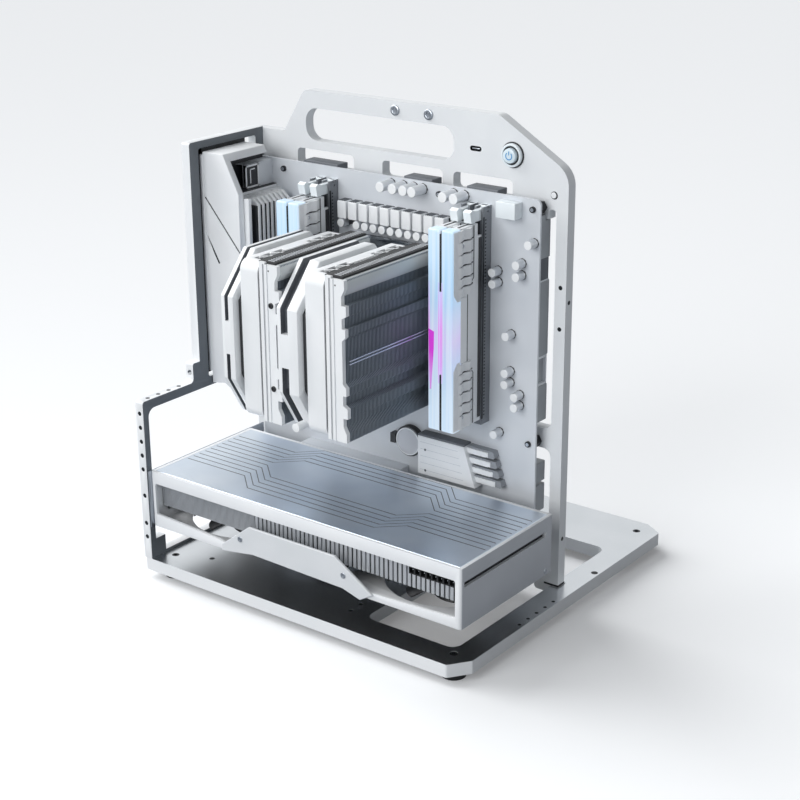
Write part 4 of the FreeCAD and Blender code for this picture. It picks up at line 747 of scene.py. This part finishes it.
# Painted shade: flat grey strips stand for the shade in the milled lines.
bm = bmesh.new()
for step in range(5):
    z = bottom + 3.4 + 5.0 * step
    block(bm, (left + 2.0, near - 0.05, z), (left + 38.0 - 1.2 * step, near + 0.02, z + 0.22))
drawn("drive_line_shade", bm, painted_line_shade, "drive_cover")
bm = bmesh.new()
prism(bm, [(left, top - strip), (left + 38.0, top - strip), (left + 37.6, top), (left, top)], "xz",
      near + 0.4, board_face)
for rise in (18.3, 3.3):
    turned(bm, (left + 6.2, near + 0.3, bottom + rise), (0, -1, 0), [
        (0, 0), (0.9, 0), (0.9, 0.4), (0.7, 0.5), (0, 0.5),
    ], 16)
drawn("drive_edge", bm, former_grey, "drive_cover", 0.1)
fingers = bmesh.new()
studs = bmesh.new()
for step in range(4):
    x = left + 37.0 + 2.0 * step
    z = top - 6.5 * (step + 1)
    prism(fingers, [(x, z + 1.0), (x + 18.6, z + 0.8), (x + 18.6, z + 4.2), (x, z + 4.4)], "xz",
          near + 3.0, board_face)
    prism(fingers, [(x, z + 0.1), (x + 16.0, z), (x + 16.0, z + 0.5), (x, z + 0.6)], "xz",
          near + 4.0, board_face)
    prism(studs, [(x + 18.6, z + 0.6), (x + 22.6, z + 0.4), (x + 23.8, z + 1.6), (x + 22.4, z + 5.4),
                  (x + 2.0, z + 5.6), (x + 1.0, z + 4.7), (x + 18.6, z + 4.5)], "xz", near + 3.4, board_face)
drawn("drive_fingers", fingers, cover_metal, "drive_cover")
drawn("drive_studs", studs, stud_grey, "drive_cover")

# Card slot: a moulded socket in pale plastic, soldered to the main board. It takes the edge of the
# card's circuit board.
dress("card_slot", grey_plastic, 0.3)

# Memory sockets: long moulded sockets, drawn grey as painted shade, with dark spring contacts down each
# side and a black strip of painted shade beside the module. Their ends are drawn lower than the nodes and
# their top faces are painted glossy white as painted light; hinged levers in them hold the modules.
shaded_socket_grey = coating("painted_shade_socket_grey", "7E8288", "72767C", 0.45)
contact_dark = coating("tin_dark_contact", "33363B", "2A2D31", 0.35, metallic=0.6)
end_foot = 0.2667
end_share = 0.45
sockets = dress("memory_sockets", shaded_socket_grey, 0.3)
for vert in sockets.data.vertices:
    if vert.co.z > end_foot:
        vert.co.z = end_foot + (vert.co.z - end_foot) * end_share
# Painted light: the top faces of the ends are white, lighter than the grey sides.
paint(sockets, gloss_white, lambda face: face.normal.z > 0.9 and face.center.z > 0.2715)
socket_boxes = solid_boxes("memory_sockets")
contact_pitch = 2.3
bm = bmesh.new()
for low, high in socket_boxes:
    for step in range(58):
        z = low.z + 6.0 + contact_pitch * step
        for left in (low.x - 0.12, high.x - 0.1):
            block(bm, (left, high.y - 7.0, z), (left + 0.22, high.y - 5.8, z + 1.0))
# Painted shade: a thin black strip on each socket's right side, beside the module.
for low, high in socket_boxes:
    block(bm, (high.x, low.y + 0.1, low.z + 4.0), (high.x + 0.1, low.y + 1.8, 266.0))
drawn("socket_contacts_and_shade_strip", bm, contact_dark, "memory_sockets")
lever_head = [(-25.6, 263.9), (-28.6, 264.1), (-30.1, 271.2), (-27.4, 272.6), (-24.6, 271.6), (-24.4, 264.2)]
lever_arm = [(-25.0, 264.2), (-25.0, 270.8), (-9.7, 271.4), (-9.7, 266.8), (-14.0, 263.9), (-21.0, 263.9)]
for number in range(1, 5):
    node = f"memory_latch_{number}"
    low, high = extent(node)
    middle = (low.x + high.x) / 2
    bm = bmesh.new()
    prism(bm, lever_head, "yz", middle - 2.9, middle + 2.9)
    prism(bm, lever_arm, "yz", middle - 1.7, middle + 1.7)
    pin(bm, (high.x, -11.1, 271.6), (1, 0, 0), 0.95, high.x - low.x, 16)
    drawn(f"latch_lever_{number}", bm, gloss_white, node, 0.3, replaces=True)

# Memory boards: black laminate between the spreaders, of which only the edges show. They stand in
# the sockets.
dress("memory_boards", black_and_painted_shade, 0)

# Heat spreaders: aluminium, stamped and coated in a white with a faint shine. The outer face has
# overlapping ribs near both ends, a plain panel between them and a step towards the socket.
module_middles = [(low.x + high.x) / 2 for low, high in solid_boxes("memory_boards")]
spreader_white = coating("coated_stamped_aluminium", "F0F2F4", "E6E9EC", 0.3, metallic=0.15)
step_route = [(-27.0, 263.0), (-27.0, 229.5), (-33.6, 222.0), (-33.6, 173.0), (-27.0, 166.0), (-27.0, 131.0)]
step_outline = step_route + [(y + 0.7, z) for y, z in reversed(step_route)]
upper_ribs = (263.2, 255.4, 247.2, 239.6, 232.0, 226.0, 219.6)
lower_ribs = (175.6, 168.8, 162.4, 155.2, 147.6, 140.4, 130.6)
bm = bmesh.new()
# Painted shade: thin black strips along the step and between the ribs.
lines = bmesh.new()
heads = bmesh.new()
for x in module_middles:
    face = x + 3.5
    for wall in (x - 3.5, x + 1.0):
        block(bm, (wall, -42.0, 130.25), (wall + 2.5, -26.5, 255.4), 0.4)
        block(bm, (wall, -42.0, 130.25), (wall + 2.2, -17.6, 255.4), 0.4)
    block(bm, (x - 3.3, -42.1, 130.4), (x + 3.3, -39.0, 263.4), 0.4)
    block(bm, (x - 3.3, -42.1, 255.0), (x + 3.3, -22.0, 263.4), 0.4)
    for marks in (upper_ribs, lower_ribs):
        for high, low in zip(marks, marks[1:]):
            prism(bm, [(face - 1.4, -27.2), (face - 0.6, -46.6), (face + 1.9, -43.0), (face + 1.9, -41.8),
                       (face + 0.3, -38.0), (face + 0.3, -37.0), (face + 1.9, -33.4), (face + 1.9, -32.4),
                       (face - 0.4, -27.2)], "xy", low + 0.6, high - 0.4)
    prism(bm, [(-35.0, 176.2), (-41.8, 176.2), (-41.8, 219.0), (-35.0, 219.0)], "yz", face - 0.2, face + 0.9)
    prism(lines, step_outline, "yz", face - 0.1, face + 0.12)
    for z in upper_ribs[1:-1] + lower_ribs[1:-1]:
        block(lines, (face - 0.3, -46.0, z - 0.3), (face + 0.2, -27.6, z + 0.5))
    block(lines, (face - 0.4, -21.2, 133.0), (face - 0.18, -18.0, 254.0))
    for z in (252.6, 139.0):
        turned(heads, (face - 0.2, -40.4, z), (1, 0, 0), [
            (0, 0), (1.5, 0), (1.5, 1.4), (1.2, 1.7), (0.6, 1.7), (0.6, 1.0), (0, 1.0),
        ], 16)
drawn("spreader_shells", bm, spreader_white, "memory_spreaders", 0.15, 1, replaces=True)
drawn("spreader_step_and_rib_shade", lines, black_and_painted_shade, "memory_spreaders")
drawn("spreader_rivets", heads, zinc, "memory_spreaders")


# Light bars: frosted acrylic caps on the memory modules with coloured lamps behind them. The ends
# shine pale blue and the middle runs through violet and pink, in soft milky streaks along the bar.
def lit_acrylic(name, stops, strength, body, milk=0.0):
    """Frosted acrylic lit from behind: stops are heights in millimetres with their colours."""
    material = bpy.data.materials.new(name)
    material.use_nodes = True
    tree = material.node_tree
    shader = tree.nodes["Principled BSDF"]
    place = add_node(tree, "ShaderNodeTexCoord", {})
    split = add_node(tree, "ShaderNodeSeparateXYZ", {}, Vector=place.outputs["Object"])
    streak_space = add_node(tree, "ShaderNodeMapping", {"Scale": (420.0, 60.0, 9.0)},
                            Vector=place.outputs["Object"])
    streaks = add_node(tree, "ShaderNodeTexNoise", {"Scale": 1.0, "Detail": 1.0},
                       Vector=streak_space.outputs[0])
    low, high = stops[0][0], stops[-1][0]
    height = add_node(tree, "ShaderNodeMapRange", {"From Min": low / 1000, "From Max": high / 1000},
                      Value=split.outputs["Z"])
    shift = add_node(tree, "ShaderNodeMapRange", {"To Min": -0.07, "To Max": 0.07},
                     Value=streaks.outputs["Fac"])
    level = add_node(tree, "ShaderNodeMath", {"operation": "ADD"})
    tree.links.new(height.outputs[0], level.inputs[0])
    tree.links.new(shift.outputs[0], level.inputs[1])
    ramp = add_node(tree, "ShaderNodeValToRGB", {}, Fac=level.outputs[0])
    band = ramp.color_ramp
    band.elements[0].color = linear(stops[0][1])
    band.elements[1].color = linear(stops[-1][1])
    for z, colour in stops[1:-1]:
        band.elements.new((z - low) / (high - low)).color = linear(colour)
    veil = add_node(tree, "ShaderNodeMapRange", {"From Min": 0.4, "From Max": 0.62, "To Max": milk},
                    Value=streaks.outputs["Fac"])
    milky = add_node(tree, "ShaderNodeMix", {"data_type": "RGBA"}, Factor=veil.outputs[0])
    tree.links.new(ramp.outputs[0], milky.inputs[6])
    milky.inputs[7].default_value = linear("F6FAFF")
    tree.links.new(milky.outputs[2], shader.inputs["Emission Color"])
    shader.inputs["Base Color"].default_value = linear(body)
    shader.inputs["Emission Strength"].default_value = strength
    shader.inputs["Roughness"].default_value = 0.22
    return material


# The bars glow in pale blue. The guides between and beside them shine stronger: magenta and pink.
frosted_blue = lit_acrylic("lit_frosted_acrylic", [
    (130, "DEEDFA"), (152, "DAEBFA"), (166, "CCDFF8"), (178, "D2D8FA"), (192, "E2CCFA"), (205, "D2D8FA"),
    (216, "BAD8FA"), (230, "C0E0FA"), (264, "DDEFFC"),
], 0.66, "6F8FA8", 0.6)
magenta_glow = lit_acrylic("lit_magenta_acrylic", [
    (168, "D9A0EE"), (184, "D83CDC"), (198, "D83CDC"), (222, "E9B8F4"),
], 0.7, "8A3A8A")
pink_glow = lit_acrylic("lit_pink_acrylic", [
    (160, "C9DFFA"), (176, "DCA8F2"), (200, "E79CF0"), (232, "BFDDFA"),
], 0.75, "8A6A9A")
pairs = (module_middles[:2], module_middles[2:])
bar_face = -50.2
dress("memory_light_bars", frosted_blue, 1.1, 4)
bm = bmesh.new()
for pair in pairs:
    left = pair[0] - 4.3
    prism(bm, [(left + 0.3, 198.5), (left + 4.6, 197.0), (left + 4.4, 186.0), (left + 2.4, 158.0),
               (left + 1.4, 158.0)], "xz", bar_face - 0.52, bar_face - 0.1)
drawn("light_guides", bm, magenta_glow, "memory_light_bars")
bm = bmesh.new()
for pair in pairs:
    middle = sum(pair) / 2
    block(bm, (middle - 0.8, bar_face, 169.0), (middle + 0.8, bar_face + 7.2, 223.6), 0.3)
    for left in (middle - 1.75, middle + 0.85, pair[0] - 4.0):
        block(bm, (left, bar_face - 0.48, 163.0), (left + 0.9, bar_face, 230.0), 0.1, 1)
drawn("pink_edges", bm, pink_glow, "memory_light_bars")
# Painted shade: black strips in the gaps between the bars, above and below the glowing guides.
bm = bmesh.new()
for pair in pairs:
    middle = sum(pair) / 2
    for low, high in ((131.0, 168.6), (224.0, 261.0)):
        block(bm, (middle - 0.84, bar_face - 0.1, low), (middle + 0.84, bar_face + 7.2, high))
drawn("bar_gap_shade", bm, black_and_painted_shade, "memory_light_bars")
upper_flank = [(-49.4, 262.6), (-42.1, 262.6), (-42.1, 217.5), (-45.6, 217.5), (-49.4, 222.5)]
lower_flank = [(-49.4, 131.2), (-42.1, 131.2), (-42.1, 177.0), (-45.6, 177.0), (-49.4, 172.0)]
bm = bmesh.new()
for x in module_middles:
    for side_x in (x - 4.42, x + 4.3):
        for flank in (upper_flank, lower_flank):
            prism(bm, flank, "yz", side_x, side_x + 0.12)
drawn("bar_flanks", bm, spreader_white, "memory_light_bars")

# Cooler base: machined copper plate, nickel-plated like the heat pipes, which are bent and soldered
# in its grooves. Four spring screws press it on the processor.
dress("cooler_base", nickel, 0.4)
dress("heat_pipes", nickel, 0)
socket_screws("cooler_screws", {"y": (0, -1, 0)}, 3.0, 1.6, 2.0, zinc)


# Fin towers: thin stamped aluminium fins on the pipes, one behind the other. Their fan side is
# straight and their free side is stepped; the upper corner is folded into a closed, paler edge.
def fin_corners(left, right, low, high):
    """Corners of one fin in X and Z: flat on the fan side, stepped on the other."""
    half = (high - low) / 2
    level = (high + low) / 2
    steps = [(0.0, 3.4), (13.7, 3.4), (16.3, 0.8), (21.4, 0.8), (21.4, 3.4), (27.8, 3.4), (29.7, 0.0),
             (36.1, 0.0), (36.1, 3.4), (41.8, 3.4), (46.3, 1.0), (half, 1.0)]
    corners = [(left, high), (left, low)]
    corners += [(right - cut, level - rise) for rise, cut in reversed(steps)]
    corners += [(right - cut, level + rise) for rise, cut in steps[1:]]
    return corners


# Dark anodised fins have a slaty, broken sheen, and their folded edges are paler. The moulded comb on
# top is satin grey, and the spring wires are two bright lines.
fin_slate = coating("dark_anodised_fin", "8A929B", "7C858F", 0.45, metallic=0.4, grain=0.5)
fold_grey = coating("folded_fin_edge", "D0D4D6", "C2C8CA", 0.42, metallic=0.2, grain=0.5)
rotor_grey = coating("moulded_grey_rotor", "D5D9DE", "CBD0D6", 0.35)
wire_steel = coating("bright_spring_wire", "C9CCDC", "BCC0D2", 0.25, metallic=1.0)
fin_count = 66
fin_thickness = 0.66
comb_pitch = 2.36
for number in (1, 2):
    node = f"fin_stack_{number}"
    low, high = extent(node)
    pitch = (high.y - low.y - 0.7) / (fin_count - 1)
    bm = bmesh.new()
    for step in range(fin_count):
        near = low.y + pitch * step
        prism(bm, fin_corners(low.x, high.x, low.z, high.z), "xz", near, near + fin_thickness)
    block(bm, (low.x + 2.0, low.y + 1.0, low.z + 4.0), (high.x - 4.6, high.y - 1.0, high.z - 4.0))
    drawn(f"fins_{number}", bm, fin_slate, node, replaces=True)
    bm = bmesh.new()
    prism(bm, [
        (high.x - 3.6, high.z + 0.3), (high.x - 2.2, high.z + 0.15), (high.x - 1.2, high.z - 0.5),
        (high.x - 0.75, high.z - 1.6), (high.x - 0.75, high.z - 5.9), (high.x - 3.1, high.z - 10.2),
        (high.x - 3.7, high.z - 10.0), (high.x - 1.4, high.z - 5.7), (high.x - 1.4, high.z - 1.8),
        (high.x - 2.2, high.z - 0.6), (high.x - 3.6, high.z - 0.3),
    ], "xz", low.y, high.y)
    drawn(f"fin_fold_{number}", bm, fold_grey, node)
    bm = bmesh.new()
    block(bm, (low.x - 1.2, low.y - 0.9, high.z - 0.6), (high.x - 3.8, high.y, high.z + 1.6), 0.4)
    block(bm, (low.x - 1.3, low.y - 1.2, low.z + 1.0), (low.x - 0.1, high.y - 1.0, high.z + 1.2))
    drawn(f"fin_comb_base_{number}", bm, rubber, node)
    bm = bmesh.new()
    for step in range(38):
        near = low.y + 0.8 + comb_pitch * step
        block(bm, (low.x + 4.6, near, high.z + 1.4), (low.x + 9.6, near + 0.7, high.z + 1.8))
    drawn(f"fin_comb_{number}", bm, rotor_grey, node)
    level = (low.z + high.z) / 2
    bm = bmesh.new()
    for z in (level + 0.9, level - 1.1):
        pin(bm, (high.x + 0.15, high.y, z), (0, 1, 0), 0.45, high.y - low.y, 12)
    drawn(f"fin_wire_{number}", bm, wire_steel, node)

# Tower covers: moulded white end plates on the fins, with two grooves and a locating hole. The first
# tower also shows the ends of two black rubber fan pins.
pin_black = coating("black_rubber_pin", "16171A", "1D1F22", 0.5)
for number, hole_shift, fan_pins in ((1, 7.7, ((-12.4, 219.3), (-12.4, 164.6))), (2, 7.9, ())):
    node = f"tower_cover_{number}"
    dress(node, powder_coat, 0)
    low, high = extent(node)
    bm = bmesh.new()
    turned(bm, (low.x + hole_shift, low.y, high.z - 5.0), (0, -1, 0), [
        (0, -0.3), (0.55, -0.3), (0.55, 0.06), (0, 0.06),
    ], 16)
    for x, z in fan_pins:
        turned(bm, (x, low.y, z), (0, -1, 0), [
            (0, -0.3), (1.9, -0.3), (1.9, 0.5), (1.5, 0.9), (0.8, 0.9), (0.7, 0.5), (0, 0.5),
        ], 24)
    drawn(f"cover_pins_{number}", bm, pin_black, node)

# Fan frames: white mouldings with pockets and slanted stays in their edges, held off the towers by
# black rubber strips; the pockets are filled black as painted shade. Each rotor is moulded in one piece with
# swept blades and has a glossy cap.
dress("fan_gaskets", rubber, 0.3)
fan_white = coating("moulded_white_fan_frame", "F0F2F4", "EAEDEF", 0.4)
for number in (1, 2):
    node = f"fan_frame_{number}"
    dress(node, fan_white, 0.8, 3)
    low, high = extent(node)
    middle = (low.y + high.y) / 2
    # Painted shade: black blocks fill the pockets and the top of each frame.
    bm = bmesh.new()
    for y in (middle - 25.0, middle + 25.0):
        block(bm, (low.x + 5.1, y - 12.9, high.z - 3.9), (high.x - 2.1, y + 12.9, high.z - 1.2))
    block(bm, (low.x + 9.0, middle - 37.0, high.z - 0.4), (high.x - 3.4, middle + 37.0, high.z + 0.05))
    drawn(f"frame_pocket_shade_{number}", bm, black_and_painted_shade, node)
    bm = bmesh.new()
    for y in (middle - 30.5, middle - 20.0, middle + 19.5, middle + 30.0):
        prism(bm, [(low.x + 4.8, y - 3.0), (low.x + 6.2, y - 3.6), (high.x - 1.9, y + 2.6),
                   (high.x - 1.9, y + 4.0)], "xy", high.z - 3.6, high.z + 0.25)
    block(bm, (low.x + 9.9, middle - 35.0, high.z - 0.2), (low.x + 10.5, middle + 35.0, high.z + 0.3))
    drawn(f"frame_stays_{number}", bm, fan_white, node, 0.2)
    node = f"fan_rotor_{number}"
    dress(node, rotor_grey, 0)
    low, high = extent(node)
    bm = bmesh.new()
    turned(bm, (low.x, (low.y + high.y) / 2, (low.z + high.z) / 2), (-1, 0, 0), [
        (0, 0), (15.0, 0), (14.8, 0.25), (12.5, 0.35), (0, 0.35),
    ], 64)
    drawn(f"rotor_cap_{number}", bm, gloss_white, node)

# Fan rings: angular moulded rings clipped in front of the fans, satin white, with a raised lip. The
# groove round their arms is painted dark grey and the walls behind it black, as painted shade.
ring_white = coating("moulded_white_ring", "EFF1F3", "E9ECEE", 0.36)
painted_groove_shade = coating("painted_groove_shade_grey", "54585E", "4A4E54", 0.5)
opening_radius = 43.5


def fan_ring(number):
    """One ring in its finishes. Its faces are first made convex, so that its opening stays open."""
    node = f"fan_bezel_{number}"
    low, high = extent(node)
    floor_x = low.x + 2.8
    shoulder = high.x - 3.6
    groove_end = floor_x + (shoulder - floor_x) * 0.42
    centre = Vector(((low.y + high.y) / 2, (low.z + high.z) / 2))
    ring = dress(node, ring_white, 0.5, 2)
    bm = bmesh.new()
    bm.from_mesh(ring.data)
    bmesh.ops.connect_verts_concave(bm, faces=bm.faces)
    bm.to_mesh(ring.data)
    bm.free()

    def outer_wall(face):
        """Whether a face stands along X outside the fan's opening."""
        x, y, z = face.center * 1000
        return abs(face.normal.x) <= 0.5 and (Vector((y, z)) - centre).length >= opening_radius

    def groove(face):
        """Whether a face is the floor of the groove or a wall beside it on an arm."""
        x, y, z = face.center * 1000
        if outer_wall(face):
            return floor_x < x < groove_end and abs(z - centre.y) > 11.5
        return face.normal.x > 0.9 and abs(x - floor_x) < 0.1

    # Painted shade: dark grey in the groove, black on the walls behind the shoulder.
    paint(ring, painted_groove_shade, groove)
    paint(ring, black_and_painted_shade, lambda face: outer_wall(face) and shoulder < face.center.x * 1000 < high.x)


for number in (1, 2):
    fan_ring(number)

# Card shell: moulded housing in satin white with softly rounded edges, open in front over the fins.
# Its underside is painted black and its free end grey, as painted shade. One screw closes that end.
card_white = coating("satin_moulded_housing", "EEF0F2", "E8EBEE", 0.33)
painted_shade_underside = coating("painted_shade_black_underside", "0B0C0E", "101114", 0.6)
painted_shade_end = coating("painted_shade_grey_end", "C6CAD0", "BEC2C8", 0.35)
shell = dress("card_shroud", card_white, 0.9, 3)
# Painted shade: black on the faces that look down, grey on the free end.
paint(shell, painted_shade_underside, lambda face: face.normal.z < -0.9 and face.center.z < 0.042)
paint(shell, painted_shade_end, lambda face: face.normal.x > 0.9 and face.center.x > 0.133)
bm = bmesh.new()
turned(bm, (133.9, -31.4, 43.4), (1, 0, 0), [
    (0, -1.0), (1.7, -1.0), (1.7, 0.15), (1.5, 0.3), (0.9, 0.3), (0.9, -0.3), (0, -0.3),
], 20)
drawn("end_screw", bm, zinc, "card_shroud")

# Backplate: rolled aluminium, brushed along its length so that its shine runs across, and milled with
# ten parallel grooves that part round a plain panel in the middle and close up again.
plate_metal = coating("brushed_aluminium_plate", "CDD7E3", "DCE4ED", 0.33, metallic=0.9, grain=0.5,
                      stretch=(0.04, 1, 1))
low, high = extent("card_backplate")
bm = bmesh.new()
block(bm, low, high, 0.3, 1)
plate = drawn("plate_sheet", bm, plate_metal, "card_backplate", replaces=True)
groove_half = 0.45
groove_pitch = 5.84
bm = bmesh.new()
for step in range(10):
    y = -93.6 + groove_pitch * step
    bow, turn_x = (-14.6, 53.6) if step < 5 else (15.4, 54.9)
    route = [(-122.6, y), (-69.4, y), (-53.6, y + bow), (turn_x, y + bow), (69.4, y), (129.4, y)]
    outline = [(x, level - groove_half) for x, level in route]
    outline += [(x, level + groove_half) for x, level in reversed(route)]
    prism(bm, outline, "xy", high.z - 0.7, high.z + 0.5)
# Painted shade: a dark sheet fills each groove to just below the surface.
groove_shade_sheet = bm.copy()
carve(plate, "plate_grooves", bm)
bmesh.ops.translate(groove_shade_sheet, vec=(0, 0, -0.52), verts=groove_shade_sheet.verts)
drawn("plate_groove_shade", groove_shade_sheet, painted_groove_shade, "card_backplate")

# Card fins: thin aluminium fins with a soft metal shine, on a block painted black as the shade between
# them. They are packed close at the bracket end, wider towards the socket, and shorter under it.
card_fin_metal = coating("clear_finned_aluminium", "CDD0D4", "C2C6CB", 0.4, metallic=0.5)
low, high = extent("card_fins")
close_count, close_pitch = 80, 1.06
wide_pitch = 3.62
socket_left, socket_foot = 91.0, 65.4
# Painted shade: the block behind the fin edges is black.
dress("card_fins", black_and_painted_shade, 0)
bm = bmesh.new()
x = low.x + 0.4
for step in range(close_count):
    left = x + close_pitch * step
    block(bm, (left, low.y - 0.4, low.z), (left + 0.6, low.y + 3.0, high.z))
x += close_pitch * close_count
while x < high.x - 2.4:
    top = socket_foot if x > socket_left else high.z
    block(bm, (x, low.y - 0.4, low.z), (x + 2.6, low.y + 3.0, top), 0.5, 2)
    x += wide_pitch
drawn("card_fin_edges", bm, card_fin_metal, "card_fins")

# Card circuit board, bracket and power socket: black laminate, plated steel and a black moulding
# whose two rows of square cavities hold plated pins.
dress("card_circuit_board", black_and_painted_shade, 0)
dress("card_bracket", zinc, 0.2)
dress("card_connector", pin_black, 0.15)
low, high = extent("card_connector")
columns, rows = 8, 2
bm = bmesh.new()
for column in range(columns):
    for row in range(rows):
        x = low.x + (high.x - low.x) / columns * (column + 0.5)
        z = low.z + (high.z - low.z) / rows * (row + 0.5)
        block(bm, (x - 0.35, low.y + 1.5, z - 0.35), (x + 0.35, low.y + 8.0, z + 0.35), 0.1, 1)
drawn("connector_pins", bm, tin, "card_connector")

# Badge: a milled aluminium bar on the front of the card, coated white with a soft sheen and held by
# two small socket screws.
badge_coat = coating("satin_badge_aluminium", "DCDFE2", "D4D8DB", 0.4)
level_faces(dress("card_badge", badge_coat, 0.5, 3))
socket_screws("badge_screws", {"y": (0, -1, 0)}, 0.5, 1.1, 1.2, zinc, 0.15)

# Card fans: black moulded rotors under the fins, each on its own shaft, so dark that only their
# blades' edges catch the light.
for number in (1, 2, 3):
    dress(f"card_fan_rotor_{number}", pin_black, 0)
